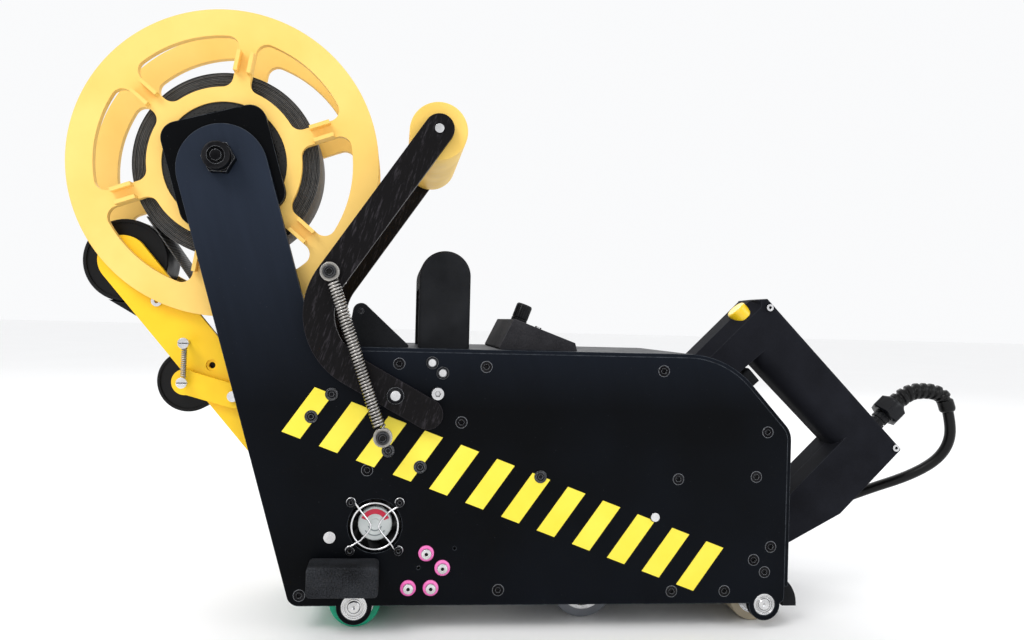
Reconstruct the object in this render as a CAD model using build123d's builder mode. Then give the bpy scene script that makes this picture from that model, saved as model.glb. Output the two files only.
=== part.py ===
"""Wheeled, mains-corded strap applying carriage. Millimetres, +Z up.

+X runs towards the rear handle, -Y is the near side, and the wheels stand on Z = 0. Side profiles are
drawn in X and Z on planes that face the near side, so a positive extrude runs towards -Y.
"""

import math
import os

from build123d import *

# ---- driving dimensions ----
PLATE = 5.0  # side plate thickness
HALF_WIDTH = 60.0  # centre plane to a side plate's outer face
INNER = HALF_WIDTH - PLATE
SILL_Z = 18.5  # lower edge of the side plates
DECK_Z = 187.5
REAR_X = 189.5
LEAN = math.radians(15.8)  # the upright leans forward by this much
UPRIGHT_TOP = (-199.5, 304.5)
UPRIGHT_R = 29.5
CORNER_TOP = (143.5, DECK_Z)
CORNER_REAR = (REAR_X, 136.5)
CORNER_RADII = (60.0, 13.0)
COVER = 2.5
COVER_FRONT_X = -118.0
DECK_TOP = DECK_Z + COVER
RUN_FIT = 0.05  # radial clearance of a shaft in its bore

REEL = (-200.5, 310.5)
REEL_R = 102.5
FLANGE = 5.0
FLANGE_NEAR_Y = -47.0
FLANGE_FAR_Y = 1.0
FLANGE_BORE_R = 41.0
WINDOW_R = (51.0, 85.0)
SPOKES = 6
SPOKE_WIDTH = 11.5
SPOKE_ANGLE = 80.0
STRAP_NEAR_Y = -40.0
STRAP_FAR_Y = -2.0
COIL_R = 62.5
CORE_R = 44.0
REEL_AXLE_R = 6.0

WHEEL_R = 17.5
FRONT_X = -107.0
REAR_WHEEL_X = 175.5
MID_X = 53.0
MID_R = 22.5
SHAFT_R = 4.0
FRONT_BEARING_R = 8.8
REAR_BEARING_R = 7.6

PIVOT_R = 3.2
DANCER_PIVOT = (-83.0, 159.0)
DANCER_ROLLER = (-58.5, 335.0)
DANCER_ROLLER_R = 19.5
ARM_BEND = (-92.1, 212.0)
ARM_BEND_R = 42.0
ARM_WIDTH = 20.0
ARM_THICK = 6.0
ARM_Y = 69.0  # centre plane to an arm's outer face
ARM_END = (-61.5, 147.1)
SPRING_TOP = (-127.0, 238.5)
SPRING_FOOT = (-90.5, 132.5)
SPRING_Y = -74.5

ROLLER_PLATE_Y = (-40.0, -36.0)
ROLLER_PLATE_R = 16.5
ROLLER_PLATE_DIP = 50.0
GUIDE = (-267.0, 244.3)
GUIDE_R = 28.0
GUIDE_Y = (-34.5, -3.0)
PRESS = (-223.5, 163.5)
PRESS_R = 21.0
PRESS_Y = (-34.5, 3.0)
LEVER_PIVOT = (-191.6, 154.5)
LEVER_Y = (-45.0, -41.0)
PRESS_SPRING_TOP = (-223.0, 189.7)
PRESS_SPRING_Y = -49.0

FAN = (-94.5, 71.5)
FAN_PITCH = 32.0
FAN_R = 18.0

HANDLE_HALF = 17.0
HANDLE_WALL = 4.0
CABLE_R = 4.0
RELIEF_R = 6.8

PLATE_SCREWS = [
    (-143.0, 25.5), (-11.0, 28.5), (109.0, 27.0), (146.5, 27.0), (167.0, 48.5), (175.0, 40.0), (179.0, 57.5),
    (167.5, 106.0), (175.0, 137.0), (100.0, 178.0), (112.0, 104.0), (16.0, 105.0), (-22.5, 178.5),
    (-81.0, 179.5), (-38.5, 141.0), (-125.0, 158.5), (-138.0, 143.5), (-100.5, 108.5), (-87.0, 121.5),
    (-65.5, 111.0),
]  # fmt: skip
TIE_RODS = [(-143.0, 25.5), (-11.0, 28.5), (109.0, 27.0), (100.0, 178.0), (112.0, 104.0), (-22.5, 178.5)]
SHAFT_ENDS = [(-59.0, 180.5), (-51.8, 173.8)]
SIDE_STUD = (-124.0, 64.0)
SMALL_STUD = (96.0, 78.0)
CUP_WASHERS = [(-60.0, 53.5), (-49.0, 43.8), (-71.5, 30.4), (-56.5, 30.4)]
ARM_STOP = (-55.3, 160.6)

os.makedirs("parts", exist_ok=True)


def side(y):
    """Sketch plane at depth y: its x is X, its y is Z, and it faces -Y."""
    return Plane(origin=(0, y, 0), x_dir=(1, 0, 0), z_dir=(0, -1, 0))


def polar(centre, radius, degrees):
    """Point at a radius and an angle, counter-clockwise from +X, about a centre."""
    turn = math.radians(degrees)
    return (centre[0] + radius * math.cos(turn), centre[1] + radius * math.sin(turn))


def shifted(points, gap):
    """Open polyline moved to its left by gap, with its corners kept sharp."""
    lines = []
    for (x0, z0), (x1, z1) in zip(points, points[1:]):
        span = math.hypot(x1 - x0, z1 - z0)
        nx = -(z1 - z0) / span * gap
        nz = (x1 - x0) / span * gap
        lines.append(((x0 + nx, z0 + nz), (x1 + nx, z1 + nz)))
    moved = [lines[0][0]]
    for ((ax, az), (bx, bz)), ((cx, cz), (dx, dz)) in zip(lines, lines[1:]):
        cross = (bx - ax) * (dz - cz) - (bz - az) * (dx - cx)
        along = ((cx - ax) * (dz - cz) - (cz - az) * (dx - cx)) / cross
        moved.append((ax + along * (bx - ax), az + along * (bz - az)))
    moved.append(lines[-1][1])
    return moved


def bars(centres, near_y, far_y, radius, bore=0.0):
    """Round bars along Y, or rings if there is a bore, one at each (x, z) centre."""
    with BuildPart() as piece:
        with BuildSketch(side(far_y)):
            with Locations(*centres):
                Circle(radius)
            if bore:
                with Locations(*centres):
                    Circle(bore, mode=Mode.SUBTRACT)
        extrude(amount=far_y - near_y)
    return piece


def countersunk(centres, y, facing, radius=3.9, shank=2.2, depth=11.0):
    """Countersunk screw blanks, flush with the face at y, whose outside is towards facing."""
    with BuildPart() as piece:
        with BuildSketch(side(y)):
            with Locations(*centres):
                Circle(shank)
        extrude(amount=facing * depth)
        for x, z in centres:
            with Locations(Location((x, y, z), (-90 * facing, 0, 0))):
                Cone(shank, radius, radius - shank, align=(Align.CENTER, Align.CENTER, Align.MAX))
    return piece


def save(piece, label):
    """Labels a finished piece and writes it."""
    piece.part.label = label
    export_step(piece.part, f"parts/{label}.step")


# ---- side plates ----
LEAN_ACROSS = (math.cos(LEAN), math.sin(LEAN))
LEFT_TANGENT = tuple(c - UPRIGHT_R * a for c, a in zip(UPRIGHT_TOP, LEAN_ACROSS))
RIGHT_TANGENT = tuple(c + UPRIGHT_R * a for c, a in zip(UPRIGHT_TOP, LEAN_ACROSS))
CROWN = (UPRIGHT_TOP[0] - UPRIGHT_R * math.sin(LEAN), UPRIGHT_TOP[1] + UPRIGHT_R * math.cos(LEAN))
FRONT_FOOT = (LEFT_TANGENT[0] + (LEFT_TANGENT[1] - SILL_Z) * math.tan(LEAN), SILL_Z)
FRONT_AT_DECK = (LEFT_TANGENT[0] + (LEFT_TANGENT[1] - DECK_Z) * math.tan(LEAN), DECK_Z)
UPRIGHT_ROOT = (RIGHT_TANGENT[0] + (RIGHT_TANGENT[1] - DECK_Z) * math.tan(LEAN), DECK_Z)
REAR_FOOT = (REAR_X, SILL_Z)
PLATE_HOLES = [(DANCER_PIVOT, PIVOT_R + RUN_FIT), ((FRONT_X, WHEEL_R), FRONT_BEARING_R)]
PLATE_HOLES.append(((REAR_WHEEL_X, WHEEL_R), REAR_BEARING_R))
NEAR_HOLES = [(FAN, FAN_R), ((-65.0, 43.7), 1.2), ((-41.0, 56.7), 1.2), (REEL, REEL_AXLE_R)]
NEAR_HOLES.append((SPRING_FOOT, 2.5))
NEAR_HOLES += [(centre, 2.5) for centre in [*CUP_WASHERS, *SHAFT_ENDS, SIDE_STUD, SMALL_STUD, ARM_STOP]]

near_screws = countersunk(PLATE_SCREWS, -HALF_WIDTH, -1)
far_screws = countersunk(PLATE_SCREWS, HALF_WIDTH, 1)

with BuildPart() as near_side_plate:
    with BuildSketch(side(-INNER)):
        with BuildLine():
            FilletPolyline(
                RIGHT_TANGENT, UPRIGHT_ROOT, CORNER_TOP, CORNER_REAR, REAR_FOOT, FRONT_FOOT, LEFT_TANGENT,
                radius=[15.0, *CORNER_RADII, 4.0, 8.0],
            )  # fmt: skip
            ThreePointArc(LEFT_TANGENT, CROWN, RIGHT_TANGENT)
        make_face()
        with Locations((FRONT_X, WHEEL_R)):
            Circle(11.8)
        with Locations((REAR_WHEEL_X, WHEEL_R)):
            Circle(11.0)
        for centre, radius in PLATE_HOLES + NEAR_HOLES:
            with Locations(centre):
                Circle(radius, mode=Mode.SUBTRACT)
    extrude(amount=PLATE)
    add(near_screws.part, mode=Mode.SUBTRACT)
save(near_side_plate, "near_side_plate")

with BuildPart() as far_side_plate:
    with BuildSketch(side(HALF_WIDTH)):
        with BuildLine():
            FilletPolyline(
                (0, SILL_Z), FRONT_FOOT, FRONT_AT_DECK, CORNER_TOP, CORNER_REAR, REAR_FOOT, (1, SILL_Z),
                radius=[8.0, 25.0, *CORNER_RADII, 4.0],
            )  # fmt: skip
            Line((1, SILL_Z), (0, SILL_Z))
        make_face()
        with Locations((FRONT_X, WHEEL_R)):
            Circle(11.8)
        with Locations((REAR_WHEEL_X, WHEEL_R)):
            Circle(11.0)
        for centre, radius in PLATE_HOLES:
            with Locations(centre):
                Circle(radius, mode=Mode.SUBTRACT)
    extrude(amount=PLATE)
    add(far_screws.part, mode=Mode.SUBTRACT)
save(far_side_plate, "far_side_plate")

with BuildPart() as plate_screws:
    add(near_screws.part)
    add(far_screws.part)
    for facing in (-1, 1):
        with BuildSketch(side(facing * HALF_WIDTH)):
            with Locations(*PLATE_SCREWS):
                RegularPolygon(1.9, 6)
        extrude(amount=facing * 1.6, mode=Mode.SUBTRACT)
save(plate_screws, "plate_screws")

with BuildPart() as tie_rods:
    with BuildSketch(side(INNER)):
        with Locations(*TIE_RODS):
            Circle(5.0)
        with Locations((MID_X, MID_R)):
            Circle(3.0)
    extrude(amount=2 * INNER)
    add(near_screws.part, mode=Mode.SUBTRACT)
    add(far_screws.part, mode=Mode.SUBTRACT)
save(tie_rods, "tie_rods")

BOSS = 10.0
with BuildPart() as screw_bosses:
    for far_face in (INNER, BOSS - INNER):
        with BuildSketch(side(far_face)):
            with Locations(*[centre for centre in PLATE_SCREWS if centre not in TIE_RODS]):
                Circle(5.0)
        extrude(amount=BOSS)
    add(near_screws.part, mode=Mode.SUBTRACT)
    add(far_screws.part, mode=Mode.SUBTRACT)
save(screw_bosses, "screw_bosses")

# ---- top cover: one bent sheet over the deck and down the rear ----
COVER_RUN = [(COVER_FRONT_X, DECK_Z), CORNER_TOP, CORNER_REAR, (REAR_X, 30.0)]
COVER_OUTER = shifted(COVER_RUN, COVER)
OUTER_RADII = [radius + COVER for radius in CORNER_RADII]

with BuildPart() as top_cover:
    with BuildSketch(side(HALF_WIDTH)):
        with BuildLine():
            FilletPolyline(*COVER_RUN, radius=list(CORNER_RADII))
            FilletPolyline(*COVER_OUTER, radius=OUTER_RADII)
            Line(COVER_RUN[0], COVER_OUTER[0])
            Line(COVER_RUN[-1], COVER_OUTER[-1])
        make_face()
    extrude(amount=2 * HALF_WIDTH)
save(top_cover, "top_cover")

with BuildPart() as body_envelope:
    with BuildSketch(side(HALF_WIDTH)):
        with BuildLine():
            FilletPolyline(*COVER_OUTER, radius=OUTER_RADII)
            Polyline(COVER_OUTER[-1], (REAR_X + COVER, 0.0), (COVER_FRONT_X, 0.0), COVER_OUTER[0])
        make_face()
    extrude(amount=2 * HALF_WIDTH)

# ---- deck furniture ----
ARCH_X = (-68.5, -33.5)
ARCH_TOP_Z = 256.5
ARCH_Y = (-50.0, 44.0)
ARCH_LEG = 12.0
ARCH_BAR = 25.0

with BuildPart() as arch_handle:
    with BuildSketch(side(ARCH_Y[1])):
        with BuildLine():
            arch_mid = sum(ARCH_X) / 2
            arch_r = (ARCH_X[1] - ARCH_X[0]) / 2
            Polyline(
                (ARCH_X[0], ARCH_TOP_Z - arch_r), (ARCH_X[0], DECK_TOP), (ARCH_X[1], DECK_TOP),
                (ARCH_X[1], ARCH_TOP_Z - arch_r),
            )  # fmt: skip
            ThreePointArc(
                (ARCH_X[1], ARCH_TOP_Z - arch_r), (arch_mid, ARCH_TOP_Z), (ARCH_X[0], ARCH_TOP_Z - arch_r)
            )
        make_face()
    extrude(amount=ARCH_Y[1] - ARCH_Y[0])
    arch_rims = arch_handle.faces().group_by(Axis.Y)
    fillet((arch_rims[0] + arch_rims[-1]).edges().filter_by(GeomType.CIRCLE), 3.0)
    with BuildSketch(Plane.YZ.offset(ARCH_X[0])):
        with Locations(((ARCH_Y[0] + ARCH_Y[1]) / 2, (DECK_TOP + ARCH_TOP_Z - ARCH_BAR) / 2)):
            RectangleRounded(
                ARCH_Y[1] - ARCH_Y[0] - 2 * ARCH_LEG, ARCH_TOP_Z - ARCH_BAR - DECK_TOP, 9.0
            )
        with Locations(((ARCH_Y[0] + ARCH_Y[1]) / 2, DECK_TOP + 6)):
            Rectangle(ARCH_Y[1] - ARCH_Y[0] - 2 * ARCH_LEG, 12.0)
    extrude(amount=ARCH_X[1] - ARCH_X[0], mode=Mode.SUBTRACT)
save(arch_handle, "arch_handle")

BRACKET_EYE = (-107.5, 214.0)
with BuildPart() as guide_bracket:
    with BuildSketch(side(-44.0)):
        with Locations(BRACKET_EYE):
            Circle(5.5)
        with BuildLine():
            Polyline(
                (-117.0, DECK_TOP), (-75.0, DECK_TOP), (-75.0, DECK_TOP + 1.5),
                polar(BRACKET_EYE, 5.5, 40), polar(BRACKET_EYE, 5.5, 170), (-117.0, DECK_TOP),
            )  # fmt: skip
        make_face()
        with Locations(BRACKET_EYE):
            Circle(2.0, mode=Mode.SUBTRACT)
    extrude(amount=4.0)
save(guide_bracket, "guide_bracket")

# ---- control box, its knob and its screws ----
BOX_PROFILE = [(-13.0, DECK_TOP), (-2.5, 211.5), (4.5, 209.0), (41.0, 195.5), (42.5, DECK_TOP)]
BOX_HALF = 45.0
BOX_WALL = 2.5
KNOB_X = 7.0
slope = math.atan2(BOX_PROFILE[3][1] - BOX_PROFILE[2][1], BOX_PROFILE[3][0] - BOX_PROFILE[2][0])


def on_slope(x):
    """Height of the control box's sloped face at x."""
    return BOX_PROFILE[2][1] + (x - BOX_PROFILE[2][0]) * math.tan(slope)


def slope_plane(x, y):
    """Plane on the sloped face at x and y, facing outwards."""
    return Plane(origin=(x, y, on_slope(x)), x_dir=(0, 1, 0), z_dir=(-math.sin(slope), 0, math.cos(slope)))


with BuildPart() as control_box:
    with BuildSketch(side(BOX_HALF)):
        with BuildLine():
            Polyline(*BOX_PROFILE, BOX_PROFILE[0])
        make_face()
    extrude(amount=2 * BOX_HALF)
    front_edges = control_box.edges().group_by(Axis.X)[0]
    ridge = control_box.edges().filter_by(Axis.Y).group_by(Axis.Z)[-1]
    fillet(front_edges + ridge, 1.2)
    offset(openings=control_box.faces().sort_by(Axis.Z)[0], amount=-BOX_WALL)
    with BuildSketch(slope_plane(KNOB_X, 0).offset(-8)):
        Circle(3.0 + RUN_FIT)
    extrude(amount=10, mode=Mode.SUBTRACT)
save(control_box, "control_box")

with BuildPart() as knob:
    with BuildSketch(slope_plane(KNOB_X, 0).offset(0.6)):
        Circle(6.0)
    extrude(amount=14.5)
    fillet(knob.faces().sort_by(Axis.Z)[-1].edges(), 0.6)
    with BuildSketch(slope_plane(KNOB_X, 0).offset(-7)):
        Circle(3.0)
    extrude(amount=8)
save(knob, "knob")

# ---- rear handle, in two halves ----
HANDLE_OUTLINE = [
    (123.0, 170.2), (182.5, 229.7), (194.0, 231.3), (302.2, 120.1), (254.2, 70.3), (150.0, 13.6),
    (150.0, 19.7), (250.6, 121.4), (184.6, 186.1), (135.0, 142.5),
]  # fmt: skip
GRIP_CAVITY = [(205.5, 190.0), (214.5, 199.0), (281.0, 132.5), (271.0, 122.5)]
LEG_CAVITY = [(165.0, 198.0), (177.0, 209.0), (186.0, 199.5), (174.0, 188.5)]
BUTTON_AT = (174.0, 221.2)
BUTTON_Y = -8.2
BUTTON_R = 7.5
BUTTON_TILT = math.radians(45.0)
GLAND_AT = (288.2, 134.5)
GLAND_TILT = math.radians(44.2)
button_plane = Plane(
    origin=(BUTTON_AT[0], BUTTON_Y, BUTTON_AT[1]),
    x_dir=(0, 1, 0),
    z_dir=(-math.sin(BUTTON_TILT), 0, math.cos(BUTTON_TILT)),
)
gland_plane = Plane(
    origin=(GLAND_AT[0], 0, GLAND_AT[1]),
    x_dir=(0, 1, 0),
    z_dir=(math.cos(GLAND_TILT), 0, math.sin(GLAND_TILT)),
)


def handle_half(facing):
    """One half of the rear handle, hollow, split on the centre plane; facing is its side along Y."""

    def rim_edge(x, z):
        """The outer rim's edge whose middle is nearest to (x, z)."""
        rim = [edge for edge in half.edges() if abs(edge.center().Y - facing * HANDLE_HALF) < 0.01]
        return min(rim, key=lambda edge: math.hypot(edge.center().X - x, edge.center().Z - z))

    with BuildPart() as half:
        with BuildSketch(side(0)):
            with BuildLine():
                Polyline(*HANDLE_OUTLINE, HANDLE_OUTLINE[0])
            make_face()
        extrude(amount=-facing * HANDLE_HALF)
        fillet(rim_edge(217.6, 153.7), 11.0)
        fillet(rim_edge(248.1, 175.7), 3.0)
        chamfer(rim_edge(152.7, 200.0), 7.5)
        add(body_envelope.part, mode=Mode.SUBTRACT)
        for cavity in (GRIP_CAVITY, LEG_CAVITY):
            with BuildSketch(side(0)):
                with BuildLine():
                    Polyline(*cavity, cavity[0])
                make_face()
            extrude(amount=-facing * (HANDLE_HALF - HANDLE_WALL), mode=Mode.SUBTRACT)
        with BuildSketch(gland_plane.offset(-9)):
            Circle(4.6)
        extrude(amount=10, mode=Mode.SUBTRACT)
        if facing < 0:
            with BuildSketch(button_plane.offset(-9)):
                Circle(BUTTON_R + 0.35)
            extrude(amount=12, mode=Mode.SUBTRACT)
    return half


handle_near_half = handle_half(-1)
save(handle_near_half, "handle_near_half")
handle_far_half = handle_half(1)
save(handle_far_half, "handle_far_half")

with BuildPart() as trigger_button:
    with BuildSketch(button_plane.offset(-6)):
        Circle(BUTTON_R)
    extrude(amount=9)
    fillet(trigger_button.faces().sort_by(Axis((0, 0, 0), button_plane.z_dir))[-1].edges(), 1.5)
save(trigger_button, "trigger_button")

# ---- fasteners of the handle and the control box ----
HANDLE_SCREWS = [(194.6, 224.6), (296.8, 120.6)]
with BuildPart() as case_screws:
    for facing in (-1, 1):
        with BuildSketch(side(facing * HANDLE_HALF)):
            with Locations(*HANDLE_SCREWS):
                Circle(2.6)
                RegularPolygon(1.3, 6, mode=Mode.SUBTRACT)
        extrude(amount=-facing * 1.6)
    for y in (-17.0, 17.0):
        with BuildSketch(slope_plane(19.0, y)):
            Circle(2.4)
            RegularPolygon(1.3, 6, mode=Mode.SUBTRACT)
        extrude(amount=2.4)
save(case_screws, "case_screws")

with BuildPart() as latch_block:
    with BuildSketch(Plane(origin=(166.5, 0, 168.3), x_dir=(0, 1, 0), z_dir=(0.743, 0, 0.669))):
        with Locations((0, -8.5)):
            RectangleRounded(28.0, 13.0, 2.0)
    extrude(amount=18.0)
    add(body_envelope.part, mode=Mode.SUBTRACT)
    add(handle_near_half.part, mode=Mode.SUBTRACT)
    add(handle_far_half.part, mode=Mode.SUBTRACT)
save(latch_block, "latch_block")

# ---- cable gland, strain relief and mains cable ----
NECK = 12.5
NUT = 12.0
with BuildPart() as cable_gland:
    with BuildSketch(gland_plane.offset(-8)):
        Circle(4.5)
    extrude(amount=8)
    with BuildSketch(gland_plane):
        Circle(6.2)
    extrude(amount=NECK)
    with BuildSketch(gland_plane.offset(NECK)):
        RegularPolygon(10.4, 6)
    extrude(amount=NUT)
    with BuildSketch(gland_plane.offset(NECK + NUT)):
        Circle(8.2)
    extrude(amount=2.5)
    add(handle_near_half.part, mode=Mode.SUBTRACT)
    add(handle_far_half.part, mode=Mode.SUBTRACT)
save(cable_gland, "cable_gland")


def tangent_arcs(points):
    """Radii for a route: each arc takes 0.45 of its shorter run."""
    radii = []
    for before, corner, after in zip(points, points[1:], points[2:]):
        arriving = Vector(*corner) - Vector(*before)
        leaving = Vector(*after) - Vector(*corner)
        turn = math.radians(arriving.get_angle(leaving))
        radii.append(0.45 * min(arriving.length, leaving.length) / math.tan(turn / 2))
    return radii


def swept(points, radius, label):
    """Round tube along straight runs joined by tangent arcs; prints its radii and its volume ratio."""
    radii = tangent_arcs(points)
    with BuildPart() as tube:
        with BuildLine() as route:
            FilletPolyline(*points, radius=radii)
        with BuildSketch(Plane(origin=route.line @ 0, z_dir=route.line % 0)):
            Circle(radius)
        sweep()
    length = route.wire().length
    ratio = tube.part.volume / (math.pi * radius**2 * length)
    print(label, "length", round(length, 1), "volume ratio", round(ratio, 4))
    print(label, "radii", [round(r, 1) for r in radii])
    return tube


relief_start = gland_plane.offset(NECK + NUT + 2.5).origin
relief_bend = gland_plane.offset(NECK + NUT + 14.5).origin
RELIEF_ROUTE = [
    tuple(relief_start), tuple(relief_bend), (333.0, 0, 163.5), (344.5, 0, 160.8), (349.0, 0, 155.0),
    (351.0, 0, 147.0),
]  # fmt: skip
strain_relief = swept(RELIEF_ROUTE, RELIEF_R, "strain_relief")
save(strain_relief, "strain_relief")

COIL_CENTRE = (70.0, 128.0)
COIL_INNER_R = 22.4
COIL_OUTER_R = 61.2
CABLE_ROUTE = [
    RELIEF_ROUTE[-1], (353.9, 0, 135.4), (353.6, 1.5, 122.0), (348.3, 5.0, 109.8), (338.0, 10.5, 99.5),
    (324.5, 18.5, 90.0), (308.5, 30.0, 80.5), (278.0, 50.0, 61.0), (240.0, 67.0, 31.0), (200.0, 77.0, 10.0),
    (161.0, 79.5, 4.0), (125.0, 76.0, 4.1), (98.0, 72.0, 4.0), (78.0, 72.2, 4.0),
]  # fmt: skip
cable_run = swept(CABLE_ROUTE, CABLE_R, "cable_run")
save(cable_run, "cable_run")

with BuildPart() as cable_coil:
    with BuildSketch(Plane.XZ):
        with Locations(((COIL_INNER_R + COIL_OUTER_R) / 2, 2 * CABLE_R)):
            RectangleRounded(COIL_OUTER_R - COIL_INNER_R, 4 * CABLE_R, CABLE_R - 0.1)
    revolve(axis=Axis.Z)
cable_coil.part.move(Location((*COIL_CENTRE, 0)))
save(cable_coil, "cable_coil")

PLUG_AT = (-20.0, 85.0, 18.7)
TAIL_ROUTE = [(60.0, 72.0, 12.0), (38.0, 73.0, 12.5), (16.0, 81.5, 17.5), (-3.0, 85.0, 18.7), PLUG_AT]
cable_tail = swept(TAIL_ROUTE, CABLE_R, "cable_tail")
save(cable_tail, "cable_tail")

with BuildPart() as mains_plug:
    with BuildSketch(Plane.XZ):
        with BuildLine():
            Polyline((0, 0), (5.2, 0), (5.6, 14.0))
            Spline((5.6, 14.0), (9.5, 22.0), (18.6, 30.0), tangents=[(0.1, 1), (0.6, 1)])
            Polyline((18.6, 30.0), (18.6, 46.0), (0, 46.0), (0, 0))
        make_face()
    revolve(axis=Axis.Z)
    fillet(mains_plug.faces().sort_by(Axis.Z)[-1].edges(), 1.5)
    with BuildSketch(Plane.XY.offset(46.0)):
        with Locations((0, -9.5), (0, 9.5)):
            Circle(2.4)
    extrude(amount=18.5)
mains_plug.part.locate(Location(PLUG_AT, (0, -90, 0)))
save(mains_plug, "mains_plug")

# ---- reel: two flanges, the core and the strap coil, on a fixed axle ----


def flange(near_y):
    """Six-window flange whose near face is at near_y."""
    with BuildPart() as disc:
        with BuildSketch(side(near_y + FLANGE)):
            with Locations(REEL):
                Circle(REEL_R)
                Circle(FLANGE_BORE_R, mode=Mode.SUBTRACT)
        extrude(amount=FLANGE)
        with BuildSketch(side(near_y + FLANGE)) as windows:
            with Locations(REEL):
                Circle(WINDOW_R[1])
                Circle(WINDOW_R[0], mode=Mode.SUBTRACT)
            for k in range(SPOKES):
                angle = SPOKE_ANGLE + k * 60
                with Locations(Location((*polar(REEL, 68.0, angle), 0), (0, 0, angle))):
                    Rectangle(50.0, SPOKE_WIDTH, mode=Mode.SUBTRACT)
            fillet(windows.vertices(), 7.5)
        extrude(amount=FLANGE, mode=Mode.SUBTRACT)
    return disc


with BuildPart() as reel_flange_near:
    add(flange(FLANGE_NEAR_Y).part)
    with BuildSketch(side(FLANGE_NEAR_Y)):
        for k in range(SPOKES):
            angle = SPOKE_ANGLE + k * 60
            for edge in (-1, 1):
                foot = polar(polar(REEL, 68.0, angle), edge * (SPOKE_WIDTH / 2 - 1.3), angle + 90)
                with Locations(Location((*foot, 0), (0, 0, angle))):
                    Rectangle(14.0, 2.6)
    extrude(amount=6.0)
save(reel_flange_near, "reel_flange_near")

reel_flange_far = flange(FLANGE_FAR_Y)
save(reel_flange_far, "reel_flange_far")

with BuildPart() as reel_core:
    with BuildSketch(side(FLANGE_FAR_Y + FLANGE)):
        with Locations(REEL):
            Circle(FLANGE_BORE_R)
            Circle(REEL_AXLE_R + RUN_FIT, mode=Mode.SUBTRACT)
    extrude(amount=FLANGE_FAR_Y + FLANGE - FLANGE_NEAR_Y - 1.0)
    with BuildSketch(side(FLANGE_FAR_Y)):
        with Locations(REEL):
            Circle(CORE_R)
            Circle(FLANGE_BORE_R, mode=Mode.SUBTRACT)
    extrude(amount=FLANGE_FAR_Y - FLANGE_NEAR_Y - FLANGE)
    with BuildSketch(side(FLANGE_NEAR_Y + 13.0)):
        with Locations(REEL):
            Circle(35.0)
            Circle(14.0, mode=Mode.SUBTRACT)
    extrude(amount=13.0, mode=Mode.SUBTRACT)
save(reel_core, "reel_core")

strap_coil = bars([REEL], STRAP_NEAR_Y, STRAP_FAR_Y, COIL_R, CORE_R)
save(strap_coil, "strap_coil")

brake_centre = polar(REEL, -3.0, 90 + math.degrees(LEAN))
with BuildPart() as brake_plate:
    with BuildSketch(side(-49.5)):
        with Locations(Location((*brake_centre, 0), (0, 0, math.degrees(LEAN)))):
            RectangleRounded(70.0, 70.0, 11.0)
        with Locations(REEL):
            Circle(REEL_AXLE_R, mode=Mode.SUBTRACT)
    extrude(amount=INNER - 49.5)
save(brake_plate, "brake_plate")

with BuildPart() as reel_axle:
    with BuildSketch(side(11.0)):
        with Locations(REEL):
            Circle(REEL_AXLE_R)
    extrude(amount=11.0 + HALF_WIDTH)
    with BuildSketch(side(11.0)):
        with Locations(REEL):
            Circle(11.0)
    extrude(amount=3.0)
save(reel_axle, "reel_axle")

with BuildPart() as reel_axle_nut:
    with BuildSketch(side(-HALF_WIDTH)):
        with Locations(REEL):
            RegularPolygon(10.8, 6)
    extrude(amount=8.0)
    with BuildSketch(side(-HALF_WIDTH - 8.0)):
        with Locations(REEL):
            Circle(9.0)
    extrude(amount=6.5)
    fillet(reel_axle_nut.faces().sort_by(Axis.Y)[0].edges(), 1.0)
    with BuildSketch(side(-HALF_WIDTH - 14.5)):
        with Locations(REEL):
            Circle(5.6)
            Circle(3.6, mode=Mode.SUBTRACT)
    extrude(amount=-3.0, mode=Mode.SUBTRACT)
save(reel_axle_nut, "reel_axle_nut")

# ---- dancer: a pair of hooked arms with a roller, turning on a shaft through both plates ----
tangent_angle = math.degrees(math.atan2(DANCER_ROLLER[1] - ARM_BEND[1], DANCER_ROLLER[0] - ARM_BEND[0]))
reach = math.dist(DANCER_ROLLER, ARM_BEND)
ARM_TOP_TANGENT = polar(ARM_BEND, ARM_BEND_R, tangent_angle + math.degrees(math.acos(ARM_BEND_R / reach)))
end_angle = math.degrees(math.atan2(ARM_END[1] - ARM_BEND[1], ARM_END[0] - ARM_BEND[0]))
end_reach = math.dist(ARM_END, ARM_BEND)
ARM_FOOT_TANGENT = polar(ARM_BEND, ARM_BEND_R, end_angle - math.degrees(math.acos(ARM_BEND_R / end_reach)))

with BuildPart() as dancer_arms:
    for outer_y in (-ARM_Y, ARM_Y - ARM_THICK):
        with BuildSketch(side(outer_y + ARM_THICK)):
            with BuildLine():
                Line(DANCER_ROLLER, ARM_TOP_TANGENT)
                ThreePointArc(ARM_TOP_TANGENT, polar(ARM_BEND, ARM_BEND_R, 190), ARM_FOOT_TANGENT)
                Line(ARM_FOOT_TANGENT, ARM_END)
            trace(line_width=ARM_WIDTH)
            with Locations(DANCER_ROLLER, ARM_END):
                Circle(ARM_WIDTH / 2)
            with Locations(DANCER_PIVOT):
                Circle(PIVOT_R, mode=Mode.SUBTRACT)
            with Locations(DANCER_ROLLER):
                Circle(3.0, mode=Mode.SUBTRACT)
            with Locations(SPRING_TOP):
                Circle(2.5, mode=Mode.SUBTRACT)
        extrude(amount=ARM_THICK)
save(dancer_arms, "dancer_arms")

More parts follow.
